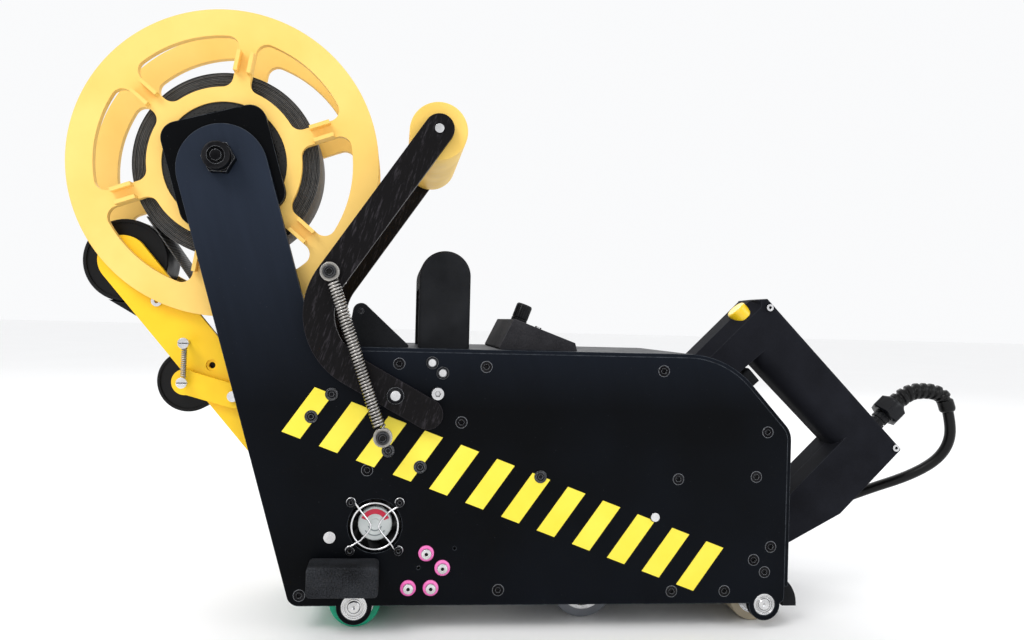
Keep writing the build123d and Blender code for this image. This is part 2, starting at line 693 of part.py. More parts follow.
with BuildPart() as dancer_rods:
    with BuildSketch(side(ARM_Y + 2.0)):
        with Locations(DANCER_PIVOT):
            Circle(PIVOT_R)
        with Locations(DANCER_ROLLER):
            Circle(3.0)
    extrude(amount=2 * ARM_Y + 3.0)
    with BuildSketch(side(-ARM_Y)):
        with Locations(DANCER_PIVOT):
            Circle(5.6)
    extrude(amount=0.8)
    with BuildSketch(side(ARM_Y + 6.0)):
        with Locations(DANCER_PIVOT):
            RegularPolygon(7.0, 6)
    extrude(amount=6.0)
save(dancer_rods, "dancer_rods")

roller_reach = ARM_Y - ARM_THICK - 1.0
dancer_roller = bars([DANCER_ROLLER], -roller_reach, roller_reach, DANCER_ROLLER_R, 3.0 + RUN_FIT)
save(dancer_roller, "dancer_roller")


def spring_bolt(centre, root_y):
    """Shoulder bolt for a spring's eye, standing out of the face at root_y to past the spring."""
    with BuildPart() as bolt:
        with BuildSketch(side(root_y + 5.0)):
            with Locations(centre):
                Circle(2.5)
        extrude(amount=root_y + 5.0 - SPRING_Y + 2.0)
        for washer_y in (SPRING_Y + 3.0, SPRING_Y - 2.0):
            with BuildSketch(side(washer_y)):
                with Locations(centre):
                    Circle(6.2)
            extrude(amount=1.2)
        with BuildSketch(side(SPRING_Y - 3.2)):
            with Locations(centre):
                Circle(4.2)
                RegularPolygon(2.1, 6, mode=Mode.SUBTRACT)
        extrude(amount=2.3)
    return bolt


spring_bolt_arm = spring_bolt(SPRING_TOP, -ARM_Y)
save(spring_bolt_arm, "spring_bolt_arm")
spring_bolt_plate = spring_bolt(SPRING_FOOT, -HALF_WIDTH)
save(spring_bolt_plate, "spring_bolt_plate")


def spring_body(start, end, y, radius, trim, pin):
    """Plain closed solid in the place of a tension spring between two pins, with a thin neck to each pin."""
    span = Vector(end[0] - start[0], 0, end[1] - start[1])
    along = span.normalized()
    with BuildPart() as spring:
        for reach, thickness in ((trim, radius), (pin, radius * 0.3)):
            with BuildSketch(Plane(origin=Vector(start[0], y, start[1]) + along * reach, z_dir=along)):
                Circle(thickness)
            extrude(amount=span.length - 2 * reach)
    return spring


dancer_spring = spring_body(SPRING_TOP, SPRING_FOOT, SPRING_Y, 4.3, 7.0, 2.6)
save(dancer_spring, "dancer_spring")

# ---- yellow roller plate with its guide roller and sprung press roller ----
dip = math.radians(ROLLER_PLATE_DIP)
PLATE_RUN = (math.cos(dip), -math.sin(dip))
PLATE_UP = (math.sin(dip) * ROLLER_PLATE_R, math.cos(dip) * ROLLER_PLATE_R)
SPACERS = [(-173.0, 140.0), (-158.0, 107.0)]
TAPPED_HOLE = (-207.2, 174.7)
with BuildPart() as roller_plate:
    with BuildSketch(side(ROLLER_PLATE_Y[1])):
        with Locations(GUIDE):
            Circle(ROLLER_PLATE_R)
        with BuildLine():
            Polyline(
                (GUIDE[0] + PLATE_UP[0], GUIDE[1] + PLATE_UP[1]),
                (GUIDE[0] + PLATE_UP[0] + 135 * PLATE_RUN[0], GUIDE[1] + PLATE_UP[1] + 135 * PLATE_RUN[1]),
                (-152.0, 125.0), (-138.0, 95.0),
                (GUIDE[0] - PLATE_UP[0] + 181.3 * PLATE_RUN[0], 95.0),
                (GUIDE[0] - PLATE_UP[0], GUIDE[1] - PLATE_UP[1]),
                (GUIDE[0] + PLATE_UP[0], GUIDE[1] + PLATE_UP[1]),
            )  # fmt: skip
        make_face()
        for centre, radius in ((TAPPED_HOLE, 2.2), (LEVER_PIVOT, 2.5), (PRESS_SPRING_TOP, 1.5), (PRESS, 3.2)):
            with Locations(centre):
                Circle(radius, mode=Mode.SUBTRACT)
    extrude(amount=ROLLER_PLATE_Y[1] - ROLLER_PLATE_Y[0])
    with BuildSketch(side(ROLLER_PLATE_Y[0])):
        with Locations(TAPPED_HOLE):
            Circle(3.8)
    extrude(amount=-1.5, mode=Mode.SUBTRACT)
save(roller_plate, "roller_plate")


def roller(centre, near_y, far_y, radius, bore, rim):
    """Plain roller with a shallow recess inside its rim at both ends."""
    with BuildPart() as piece:
        with BuildSketch(side(far_y)):
            with Locations(centre):
                Circle(radius)
                Circle(bore, mode=Mode.SUBTRACT)
        extrude(amount=far_y - near_y)
        for face_y, depth in ((near_y, -1.2), (far_y, 1.2)):
            with BuildSketch(side(face_y)):
                with Locations(centre):
                    Circle(radius - rim)
                    Circle(bore + 3.0, mode=Mode.SUBTRACT)
            extrude(amount=depth, mode=Mode.SUBTRACT)
        round_edges = piece.edges().filter_by(GeomType.CIRCLE)
        chamfer(round_edges.filter_by(lambda edge: abs(edge.radius - radius) < 0.01), 0.6)
    return piece


guide_roller = roller(GUIDE, *GUIDE_Y, GUIDE_R, 4.0 + RUN_FIT, 2.4)
save(guide_roller, "guide_roller")

SHOE_DIP = math.radians(30.0)
with BuildPart() as roller_shoe:
    with BuildSketch(side(-5.0)):
        with BuildLine():
            shoe_start = polar(GUIDE, GUIDE_R + 0.2, 240)
            run = (math.cos(SHOE_DIP), -math.sin(SHOE_DIP))
            Polyline(
                shoe_start,
                (shoe_start[0] + 52 * run[0], shoe_start[1] + 52 * run[1]),
                (shoe_start[0] + 52 * run[0] + 3, shoe_start[1] + 52 * run[1] + 9),
                (shoe_start[0] + 24, shoe_start[1] + 12),
                shoe_start,
            )  # fmt: skip
        make_face()
        with Locations(GUIDE):
            Circle(GUIDE_R + 0.6, mode=Mode.SUBTRACT)
    extrude(amount=-5.0 - ROLLER_PLATE_Y[1])
save(roller_shoe, "roller_shoe")

with BuildPart() as press_lever:
    lever_angle = math.degrees(math.atan2(LEVER_PIVOT[1] - PRESS[1], LEVER_PIVOT[0] - PRESS[0]))
    with BuildSketch(side(LEVER_Y[1])):
        with BuildLine():
            Line(PRESS, LEVER_PIVOT)
        trace(line_width=16.0)
        with Locations(PRESS):
            Circle(8.7)
        with Locations(LEVER_PIVOT):
            Circle(8.0)
            Circle(2.5 + RUN_FIT, mode=Mode.SUBTRACT)
        with Locations(PRESS):
            Circle(1.5, mode=Mode.SUBTRACT)
    extrude(amount=LEVER_Y[1] - LEVER_Y[0])
save(press_lever, "press_lever")

with BuildPart() as press_axle:
    with BuildSketch(side(5.0)):
        with Locations(PRESS):
            Circle(2.5)
    extrude(amount=5.0 - LEVER_Y[1])
    with BuildSketch(side(LEVER_Y[0])):
        with Locations(PRESS):
            Circle(1.5)
    extrude(amount=LEVER_Y[0] - PRESS_SPRING_Y + 2.0)
    with BuildSketch(side(LEVER_Y[1])):
        with Locations(PRESS):
            Circle(1.5)
    extrude(amount=LEVER_Y[1] - LEVER_Y[0])
    with BuildSketch(side(PRESS_SPRING_Y - 2.0)):
        with Locations(PRESS):
            Circle(3.6)
    extrude(amount=2.6)
    with BuildSketch(side(PRESS_SPRING_Y - 4.6)):
        with Locations(PRESS):
            Rectangle(8, 0.9)
    extrude(amount=-1.2, mode=Mode.SUBTRACT)
save(press_axle, "press_axle")
press_roller = roller(PRESS, *PRESS_Y, PRESS_R, 2.5 + RUN_FIT, 2.0)
save(press_roller, "press_roller")

with BuildPart() as plate_pins:
    with BuildSketch(side(ROLLER_PLATE_Y[0])):
        with Locations(*SPACERS):
            Circle(5.0)
    extrude(amount=INNER + ROLLER_PLATE_Y[0])
    with BuildSketch(side(GUIDE_Y[1])):
        with Locations(GUIDE):
            Circle(4.0)
    extrude(amount=GUIDE_Y[1] - ROLLER_PLATE_Y[1])
    with BuildSketch(side(ROLLER_PLATE_Y[1])):
        with Locations(LEVER_PIVOT):
            Circle(2.5)
    extrude(amount=ROLLER_PLATE_Y[1] - LEVER_Y[0] + 0.5)
    with BuildSketch(side(LEVER_Y[0] - 0.5)):
        with Locations(LEVER_PIVOT):
            Circle(3.6)
    extrude(amount=1.8)
    with BuildSketch(side(ROLLER_PLATE_Y[1])):
        with Locations(PRESS_SPRING_TOP):
            Circle(1.5)
    extrude(amount=ROLLER_PLATE_Y[1] - PRESS_SPRING_Y + 2.0)
    with BuildSketch(side(PRESS_SPRING_Y - 2.0)):
        with Locations(PRESS_SPRING_TOP):
            Circle(3.6)
    extrude(amount=2.6)
    with BuildSketch(side(PRESS_SPRING_Y - 4.6)):
        with Locations(PRESS_SPRING_TOP):
            Rectangle(8, 0.9)
    extrude(amount=-1.2, mode=Mode.SUBTRACT)
    with BuildSketch(side(ROLLER_PLATE_Y[0])):
        with Locations((-244.0, 217.2)):
            Circle(3.6)
            RegularPolygon(1.6, 6, mode=Mode.SUBTRACT)
    extrude(amount=1.6)
save(plate_pins, "plate_pins")

press_spring = spring_body(PRESS_SPRING_TOP, PRESS, PRESS_SPRING_Y, 1.9, 4.2, 1.6)
save(press_spring, "press_spring")

# ---- wheels and rollers under the body ----


def shafted(centre, half_width, radius, hub, shaft_end):
    """Tyre on a hub that is one with its shaft; the shaft runs to shaft_end on both sides."""
    with BuildPart() as wheel:
        for inner, outer, reach in ((0.0, hub, half_width), (hub, radius, half_width)):
            with BuildSketch(side(reach)):
                with Locations(centre):
                    Circle(outer)
                    if inner:
                        Circle(inner, mode=Mode.SUBTRACT)
            extrude(amount=2 * reach)
        with BuildSketch(side(shaft_end)):
            with Locations(centre):
                Circle(SHAFT_R)
        extrude(amount=2 * shaft_end)
    return wheel


drive_wheel = shafted((FRONT_X, WHEEL_R), 49.0, WHEEL_R, 13.0, HALF_WIDTH + 0.5)
save(drive_wheel, "drive_wheel")
rear_roller = shafted((REAR_WHEEL_X, WHEEL_R), 43.0, WHEEL_R, 12.0, HALF_WIDTH + 0.5)
save(rear_roller, "rear_roller")

with BuildPart() as mid_roller:
    with BuildSketch(side(34.0)):
        with Locations((MID_X, MID_R)):
            Circle(MID_R)
            Circle(3.0 + RUN_FIT, mode=Mode.SUBTRACT)
    extrude(amount=68.0)
save(mid_roller, "mid_roller")

with BuildPart() as wheel_bearings:
    for centre_x, outer in ((FRONT_X, FRONT_BEARING_R), (REAR_WHEEL_X, REAR_BEARING_R)):
        for far_y in (-INNER, HALF_WIDTH):
            with BuildSketch(side(far_y)):
                with Locations((centre_x, WHEEL_R)):
                    Circle(outer)
                    Circle(SHAFT_R + RUN_FIT, mode=Mode.SUBTRACT)
            extrude(amount=PLATE)
save(wheel_bearings, "wheel_bearings")

# ---- fan behind the near plate ----
with BuildPart() as fan_frame:
    with BuildSketch(side(1.5 - INNER + 8.5)):
        with Locations(FAN):
            RectangleRounded(40.0, 40.0, 2.5)
            Circle(FAN_R + 0.6, mode=Mode.SUBTRACT)
    extrude(amount=10.0)
    with BuildSketch(side(-INNER + 10.0)):
        with Locations(FAN):
            Circle(11.0)
            Rectangle(40.0, 3.0)
            Rectangle(3.0, 40.0)
            Circle(1.5, mode=Mode.SUBTRACT)
    extrude(amount=1.5)
save(fan_frame, "fan_frame")

with BuildPart() as fan_rotor:
    with BuildSketch(side(-INNER + 8.0)):
        with Locations(FAN):
            Circle(11.5)
    extrude(amount=7.0)
    with BuildSketch(side(-INNER + 10.0)):
        with Locations(FAN):
            Circle(1.5 - RUN_FIT)
    extrude(amount=2.0)
    with BuildSketch(side(-INNER + 7.0)):
        for k in range(7):
            angle = k * 360 / 7
            with Locations(Location((*polar(FAN, 13.6, angle), 0), (0, 0, angle + 12))):
                Rectangle(6.6, 1.6)
    extrude(amount=5.0)
save(fan_rotor, "fan_rotor")

with BuildPart() as fan_guard:
    with BuildSketch(side(-HALF_WIDTH)):
        with Locations(FAN):
            Circle(16.2)
            Circle(14.8, mode=Mode.SUBTRACT)
            with GridLocations(FAN_PITCH, FAN_PITCH, 2, 2):
                Circle(3.6)
        for turn in (45, -45):
            with Locations(Location((*FAN, 0), (0, 0, turn))):
                Rectangle(FAN_PITCH * math.sqrt(2) - 4, 1.4)
        with Locations(FAN):
            with GridLocations(FAN_PITCH, FAN_PITCH, 2, 2):
                Circle(2.0, mode=Mode.SUBTRACT)
    extrude(amount=1.4)
save(fan_guard, "fan_guard")

fan_corners = [(FAN[0] + sx * FAN_PITCH / 2, FAN[1] + sz * FAN_PITCH / 2) for sx in (-1, 1) for sz in (-1, 1)]
with BuildPart() as fan_guard_screws:
    with BuildSketch(side(-HALF_WIDTH)):
        with Locations(*fan_corners):
            Circle(2.0)
    extrude(amount=1.4)
    with BuildSketch(side(-HALF_WIDTH - 1.4)):
        with Locations(*fan_corners):
            Circle(2.9)
            RegularPolygon(1.3, 6, mode=Mode.SUBTRACT)
    extrude(amount=1.6)
save(fan_guard_screws, "fan_guard_screws")

# ---- near side trim ----
BLOCK_X = (-137.0, -91.0)
BLOCK_Z = (30.0, 50.0)
with BuildPart() as wheel_cover_block:
    with BuildSketch(side(-HALF_WIDTH)):
        with Locations(((BLOCK_X[0] + BLOCK_X[1]) / 2, (BLOCK_Z[0] + BLOCK_Z[1]) / 2)):
            RectangleRounded(BLOCK_X[1] - BLOCK_X[0], BLOCK_Z[1] - BLOCK_Z[0], 3.0)
    extrude(amount=20.0)
    fillet(wheel_cover_block.faces().sort_by(Axis.Y)[0].edges(), 1.5)
save(wheel_cover_block, "wheel_cover_block")

with BuildPart() as cup_washers:
    with BuildSketch(side(-HALF_WIDTH)):
        with Locations(*CUP_WASHERS):
            Circle(5.2)
        with Locations(*CUP_WASHERS):
            Circle(2.5, mode=Mode.SUBTRACT)
    extrude(amount=2.0)
    chamfer(cup_washers.faces().group_by(Axis.Y)[0].edges().filter_by(lambda e: e.radius > 3), 0.8)
save(cup_washers, "cup_washers")

with BuildPart() as cup_washer_screws:
    with BuildSketch(side(-HALF_WIDTH + 5.0)):
        with Locations(*CUP_WASHERS):
            Circle(2.5)
    extrude(amount=7.0)
    with BuildSketch(side(-HALF_WIDTH - 2.0)):
        with Locations(*CUP_WASHERS):
            Circle(3.6)
        with Locations(*CUP_WASHERS):
            RegularPolygon(1.6, 6, mode=Mode.SUBTRACT)
    extrude(amount=1.8)
save(cup_washer_screws, "cup_washer_screws")

with BuildPart() as side_studs:
    with BuildSketch(side(-INNER)):
        with Locations(SIDE_STUD, SMALL_STUD, ARM_STOP, *SHAFT_ENDS):
            Circle(2.5)
    extrude(amount=PLATE)
    with BuildSketch(side(-HALF_WIDTH)):
        with Locations(SIDE_STUD):
            Circle(3.9)
    extrude(amount=1.2)
    with BuildSketch(side(-HALF_WIDTH)):
        with Locations(SMALL_STUD):
            Circle(3.0)
    extrude(amount=1.2)
    with BuildSketch(side(-HALF_WIDTH)):
        with Locations(ARM_STOP):
            Circle(4.0)
    extrude(amount=9.5)
    with BuildSketch(side(-HALF_WIDTH - 9.5)):
        with Locations(ARM_STOP):
            RegularPolygon(2.2, 6)
    extrude(amount=-2.5, mode=Mode.SUBTRACT)
save(side_studs, "side_studs")

with BuildPart() as rear_skirt:
    with BuildSketch(side(50.0)):
        with BuildLine():
            Polyline((203.5, 13.0), (REAR_X + COVER, 13.0), (REAR_X + COVER, 34.0))
            ThreePointArc((REAR_X + COVER, 34.0), (200.9, 25.0), (203.5, 13.0))
        make_face()
        with Locations((REAR_WHEEL_X, WHEEL_R)):
            Circle(WHEEL_R + 1.0, mode=Mode.SUBTRACT)
    extrude(amount=100.0)
save(rear_skirt, "rear_skirt")

# ---- slanted warning bars on the near side ----
BAND_START = (-141.0, 144.5)
BAND_END = (128.0, 43.0)
BAR_COUNT = 12
band_tilt = math.degrees(math.atan2(BAND_END[1] - BAND_START[1], BAND_END[0] - BAND_START[0]))
with BuildPart() as side_decal:
    with BuildSketch(side(-HALF_WIDTH)):
        for k in range(BAR_COUNT):
            foot = tuple(a + k / (BAR_COUNT - 1) * (b - a) for a, b in zip(BAND_START, BAND_END))
            with Locations(Location((*foot, 0), (0, 0, band_tilt))):
                Polygon((-11, -16), (2, -16), (11, 19), (-2, 19), align=None)
        with Locations(SPRING_FOOT, SMALL_STUD):
            Circle(3.5, mode=Mode.SUBTRACT)
    extrude(amount=0.3)
save(side_decal, "side_decal")

# ---- strap path and drive inside the body ----
STRAP_DIP = math.atan2(0.814, 0.581)
strap_run = (math.cos(STRAP_DIP), -math.sin(STRAP_DIP))
strap_out = (-math.sin(STRAP_DIP), -math.cos(STRAP_DIP))
strap_leave = tuple(c + (COIL_R + 0.8) * n for c, n in zip(REEL, strap_out))
with BuildPart() as strap_tail:
    with BuildSketch(side(STRAP_FAR_Y)):
        with BuildLine():
            Line(strap_leave, (strap_leave[0] + 200 * strap_run[0], strap_leave[1] + 200 * strap_run[1]))
        trace(line_width=0.8)
    extrude(amount=STRAP_FAR_Y - STRAP_NEAR_Y)
save(strap_tail, "strap_tail")

with BuildPart() as strap_guide:
    with BuildSketch(side(0.0)):
        for gap in (-4.0, 4.0):
            start = [c + 190 * r + gap * n for c, r, n in zip(strap_leave, strap_run, strap_out)]
            with BuildLine():
                Line(tuple(start), (start[0] + 30 * strap_run[0], start[1] + 30 * strap_run[1]))
            trace(line_width=2.0)
    extrude(amount=INNER)
save(strap_guide, "strap_guide")

with BuildPart() as drive_motor:
    with BuildSketch(side(INNER)):
        with Locations((-40.0, 85.0)):
            Circle(22.0)
    extrude(amount=75.0)
    with BuildSketch(side(INNER - 75.0)):
        with Locations((-40.0, 85.0)):
            Circle(9.0)
    extrude(amount=12.0)
save(drive_motor, "drive_motor")

with BuildPart() as control_board:
    with BuildSketch(Plane.XY.offset(130.0)):
        with Locations((62.0, 0.0)):
            Rectangle(70.0, 2 * INNER)
    extrude(amount=1.6)
    with BuildSketch(Plane.XY.offset(131.6)):
        with Locations((45.0, -20.0), (45.0, 20.0), (80.0, 0.0)):
            Rectangle(16.0, 22.0)
    extrude(amount=14.0)
save(control_board, "control_board")
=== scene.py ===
"""Looks of the wheeled strapping tool: materials, finely shaped pieces, springs, mains cord, light, camera.

The frame is the CAD's, in metres: +X runs to the push handle, -Y is the side with the reel nut, Z is up.
"""

import math
import random

import bmesh
import bpy
from mathutils import Matrix, Vector


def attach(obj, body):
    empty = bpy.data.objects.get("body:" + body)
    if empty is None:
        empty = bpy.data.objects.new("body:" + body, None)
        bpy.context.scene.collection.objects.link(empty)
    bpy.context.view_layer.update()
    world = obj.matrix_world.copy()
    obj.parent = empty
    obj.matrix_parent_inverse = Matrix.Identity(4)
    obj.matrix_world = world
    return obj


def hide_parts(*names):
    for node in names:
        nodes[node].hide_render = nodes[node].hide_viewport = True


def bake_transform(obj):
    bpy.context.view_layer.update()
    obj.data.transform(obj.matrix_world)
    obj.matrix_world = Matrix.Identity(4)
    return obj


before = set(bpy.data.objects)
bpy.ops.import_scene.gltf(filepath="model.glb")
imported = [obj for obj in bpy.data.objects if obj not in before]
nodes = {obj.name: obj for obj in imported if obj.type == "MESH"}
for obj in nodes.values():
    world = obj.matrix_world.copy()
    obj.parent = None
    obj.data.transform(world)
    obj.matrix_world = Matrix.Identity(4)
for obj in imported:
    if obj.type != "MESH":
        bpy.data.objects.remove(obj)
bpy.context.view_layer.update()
random.seed(7)
MM = 0.001

# ---- places, in millimetres, that the CAD is built on ----
REEL = (-200.5, 310.5)
FAN = (-94.5, 71.5)
FAN_PITCH = 32.0
DANCER_ROLLER = (-58.5, 335.0)
SPRING_TOP = (-127.0, 238.5)
SPRING_FOOT = (-90.5, 132.5)
SPRING_Y = -74.5
PRESS = (-223.5, 163.5)
PRESS_SPRING_TOP = (-223.0, 189.7)
PRESS_SPRING_Y = -49.0
FRONT_WHEEL = (-107.0, 17.5)
REAR_ROLLER = (175.5, 17.5)
MIDDLE_ROLLER = (53.0, 22.5)
DANCER_PIVOT = (-83.0, 159.0)
SHAFT_ENDS = [(-59.0, 180.5), (-51.8, 173.8)]
BRACKET_EYE = (-107.5, 214.0)
GLAND_AT = (288.2, 0.0, 134.5)
GLAND_TILT = 44.2
KNOB_AT = (7.0, 0.0, 208.08)
KNOB_TILT = 20.3
CABLE_R = 4.0


def mm(*point):
    """A point given in millimetres, as a vector in metres."""
    return Vector(point) * MM


# ---- materials ----


class Finish:
    """A principled material whose colour, roughness and relief are mixed from procedural patterns."""

    def __init__(self, name, roughness, metallic=0.0, coat=0.0, specular=0.5):
        self.material = bpy.data.materials.new(name)
        self.material.use_nodes = True
        self.tree = self.material.node_tree
        self.shader = self.tree.nodes["Principled BSDF"]
        self.shader.inputs["Roughness"].default_value = roughness
        self.shader.inputs["Metallic"].default_value = metallic
        self.shader.inputs["Coat Weight"].default_value = coat
        self.shader.inputs["Coat Roughness"].default_value = 0.2
        self.shader.inputs["Specular IOR Level"].default_value = specular
        self.place = self.tree.nodes.new("ShaderNodeTexCoord").outputs["Object"]
        self.normal = None

    def node(self, kind, **settings):
        made = self.tree.nodes.new(kind)
        for key, value in settings.items():
            setattr(made, key, value)
        return made

    def mapped(self, turn=(0, 0, 0), stretch=(1, 1, 1), origin=(0, 0, 0)):
        """Object coordinates, moved to an origin in metres, turned in degrees, then stretched."""
        shift = self.node("ShaderNodeMapping")
        shift.inputs["Location"].default_value = [-value for value in origin]
        self.tree.links.new(self.place, shift.inputs["Vector"])
        turned = self.node("ShaderNodeMapping")
        turned.inputs["Rotation"].default_value = [math.radians(angle) for angle in turn]
        self.tree.links.new(shift.outputs["Vector"], turned.inputs["Vector"])
        scaled = self.node("ShaderNodeMapping")
        scaled.inputs["Scale"].default_value = stretch
        self.tree.links.new(turned.outputs["Vector"], scaled.inputs["Vector"])
        return scaled.outputs["Vector"]

    def noise(self, scale, detail=4.0, roughness=0.5, **mapping):
        made = self.node("ShaderNodeTexNoise")
        made.inputs["Scale"].default_value = scale
        made.inputs["Detail"].default_value = detail
        made.inputs["Roughness"].default_value = roughness
        self.tree.links.new(self.mapped(**mapping), made.inputs["Vector"])
        return made.outputs["Fac"]

    def cells(self, scale, **mapping):
        made = self.node("ShaderNodeTexVoronoi")
        made.inputs["Scale"].default_value = scale
        self.tree.links.new(self.mapped(**mapping), made.inputs["Vector"])
        return made.outputs["Distance"]

    def bands(self, scale, distortion=0.0, kind="BANDS", direction="Z", **mapping):
        made = self.node("ShaderNodeTexWave", wave_type=kind)
        if kind == "BANDS":
            made.bands_direction = direction
        else:
            made.rings_direction = direction
        made.inputs["Scale"].default_value = scale
        made.inputs["Distortion"].default_value = distortion
        made.inputs["Detail"].default_value = 2.0
        made.inputs["Detail Scale"].default_value = 3.0
        self.tree.links.new(self.mapped(**mapping), made.inputs["Vector"])
        return made.outputs["Fac"]

    def ranged(self, value, low, high, start=0.0, end=1.0):
        """value mapped from low..high to start..end, held at both ends."""
        made = self.node("ShaderNodeMapRange")
        for key, number in zip(("From Min", "From Max", "To Min", "To Max"), (low, high, start, end)):
            made.inputs[key].default_value = number
        self.tree.links.new(value, made.inputs["Value"])
        return made.outputs["Result"]

    def times(self, first, second):
        made = self.node("ShaderNodeMath", operation="MULTIPLY")
        for value, socket in ((first, made.inputs[0]), (second, made.inputs[1])):
            if isinstance(value, (int, float)):
                socket.default_value = value
            else:
                self.tree.links.new(value, socket)
        return made.outputs["Value"]

    def plus(self, first, second):
        made = self.node("ShaderNodeMath", operation="ADD")
        self.tree.links.new(first, made.inputs[0])
        self.tree.links.new(second, made.inputs[1])
        return made.outputs["Value"]

    def blend(self, amount, first, second):
        """Colour between first and second; either is a colour or another blend's output."""
        made = self.node("ShaderNodeMix", data_type="RGBA")
        self.tree.links.new(amount, made.inputs["Factor"])
        for value, socket in ((first, made.inputs["A"]), (second, made.inputs["B"])):
            socket = [s for s in made.inputs if s.name == socket.name and s.type == "RGBA"][0]
            if isinstance(value, tuple):
                socket.default_value = (*value, 1.0)
            else:
                self.tree.links.new(value, socket)
        return [s for s in made.outputs if s.type == "RGBA"][0]

    def rims(self, radius, bright=0.90):
        """1 on sharp edges and 0 on flat faces, from how far the rounded normal leaves the face's own; used to paint
        highlights on edges.
        """
        rounded = self.node("ShaderNodeBevel", samples=4)
        rounded.inputs["Radius"].default_value = radius
        agreement = self.node("ShaderNodeVectorMath", operation="DOT_PRODUCT")
        self.tree.links.new(rounded.outputs["Normal"], agreement.inputs[0])
        self.tree.links.new(self.node("ShaderNodeNewGeometry").outputs["True Normal"], agreement.inputs[1])
        return self.ranged(agreement.outputs["Value"], bright, 0.995, 1.0, 0.0)

    def recesses(self, distance):
        """1 deep in holes and grooves and 0 in the open, looking that many metres around; it sets where shade is
        painted.
        """
        around = self.node("ShaderNodeAmbientOcclusion", samples=8)
        around.inputs["Distance"].default_value = distance
        return self.ranged(around.outputs["AO"], 0.30, 0.85, 1.0, 0.0)

    def height(self, low, high):
        """0 below low and 1 above high, both heights in metres."""
        split = self.node("ShaderNodeSeparateXYZ")
        self.tree.links.new(self.place, split.inputs["Vector"])
        return self.ranged(split.outputs["Z"], low, high)

    def colour(self, value):
        if isinstance(value, tuple):
            self.shader.inputs["Base Color"].default_value = (*value, 1.0)
        else:
            self.tree.links.new(value, self.shader.inputs["Base Color"])
        return self

    def gloss(self, value):
        self.tree.links.new(value, self.shader.inputs["Roughness"])
        return self

    def soft_edges(self, radius):
        """Rounds sharp edges in the shading, in metres."""
        made = self.node("ShaderNodeBevel", samples=4)
        made.inputs["Radius"].default_value = radius
        self.normal = made.outputs["Normal"]
        self.tree.links.new(self.normal, self.shader.inputs["Normal"])
        return self

    def relief(self, height, distance, strength=1.0):
        """Adds a bump of that depth in metres on top of what the surface already has."""
        made = self.node("ShaderNodeBump")
        made.inputs["Strength"].default_value = strength
        made.inputs["Distance"].default_value = distance
        self.tree.links.new(height, made.inputs["Height"])
        if self.normal:
            self.tree.links.new(self.normal, made.inputs["Normal"])
        self.normal = made.outputs["Normal"]
        self.tree.links.new(self.normal, self.shader.inputs["Normal"])
        return self


def powder_coat(name, dark, light, painted_reflection=None, roughness=0.42, specular=0.06, rim=(0.085, 0.095, 0.11)):
    """Satin powder coat: orange peel, cloudy colour, dust specks, a patchy painted highlight on its edges, and a
    painted reflection that brightens it high up.
    """
    finish = Finish(name, roughness, specular=specular)
    cloud = finish.noise(9, 3)
    specks = finish.ranged(finish.noise(900, 1), 0.74, 0.80)
    body = finish.blend(finish.ranged(cloud, 0.35, 0.7), dark, light)
    # Painted reflection: a bluish colour in streaks that brightens the coat towards the top, standing in for light
    # mirrored off the paint.
    if painted_reflection:
        strokes = finish.noise(160, 4, 0.6, turn=(0, 15, 0), stretch=(1, 1, 0.08))
        reflection_streaks = finish.ranged(strokes, 0.2, 0.8, 0.75, 1.0)
        body = finish.blend(finish.times(finish.height(0.15, 0.30), reflection_streaks), body, painted_reflection)
    dusty = tuple(min(1.0, value * 3 + 0.05) for value in light)
    body = finish.blend(finish.times(specks, 0.5), body, dusty)
    # Painted highlight: the rim colour laid along sharp edges in noisy patches.
    edge_highlight = finish.times(finish.rims(0.7 * MM), finish.ranged(finish.noise(240, 3), 0.3, 0.6, 0.35, 1.0))
    finish.colour(finish.blend(edge_highlight, body, rim))
    finish.gloss(finish.ranged(finish.noise(60, 5), 0.3, 0.7, roughness - 0.07, roughness + 0.08))
    finish.soft_edges(0.6 * MM)
    return finish.relief(finish.noise(1500, 3), 0.05 * MM, 0.5).material


def printed(name, dark, light, roughness=0.78, grain=0.09, layers=0.06, scale=1900):
    """3-D printed nylon: faint layers, a sugary grain and a painted highlight on its edges."""
    finish = Finish(name, roughness, specular=0.1)
    grains = finish.noise(scale, 3, 0.65)
    patches = finish.noise(45, 4)
    lines = finish.bands(520, 1.5)
    mottled = finish.ranged(finish.plus(finish.times(grains, 0.7), finish.times(patches, 0.5)), 0.42, 0.82)
    # Painted highlight: a lighter colour laid along sharp edges.
    rim = tuple(1.6 * value + 0.02 for value in light)
    edge_highlight = finish.times(finish.rims(0.8 * MM), 0.8)
    finish.colour(finish.blend(edge_highlight, finish.blend(mottled, dark, light), rim))
    finish.gloss(finish.ranged(grains, 0.3, 0.7, roughness - 0.1, roughness + 0.1))
    finish.soft_edges(0.7 * MM)
    finish.relief(grains, grain * MM, 0.8)
    return finish.relief(lines, layers * MM, 0.6).material


def streaked(name, dark, light, angle, roughness=0.45):
    """Black plate with long hairlines at that angle in the side view, like a scorched grain, and a painted highlight
    on its edges.
    """
    finish = Finish(name, roughness, specular=0.1)
    hairs = finish.noise(950, 4, 0.7, turn=(0, angle, 0), stretch=(0.14, 1, 1))
    bold = finish.noise(330, 3, 0.6, turn=(0, angle + 4, 0), stretch=(0.14, 1, 1.3))
    lines = finish.ranged(finish.plus(finish.times(hairs, 0.65), finish.times(bold, 0.35)), 0.53, 0.68)
    # Painted highlight: a lighter colour laid along sharp edges.
    rim = tuple(1.5 * value for value in light)
    edge_highlight = finish.times(finish.rims(0.6 * MM), 0.7)
    finish.colour(finish.blend(edge_highlight, finish.blend(lines, dark, light), rim))
    finish.gloss(finish.ranged(hairs, 0.3, 0.7, roughness + 0.1, roughness - 0.1))
    finish.soft_edges(0.5 * MM)
    return finish.relief(hairs, 0.12 * MM, 0.7).material


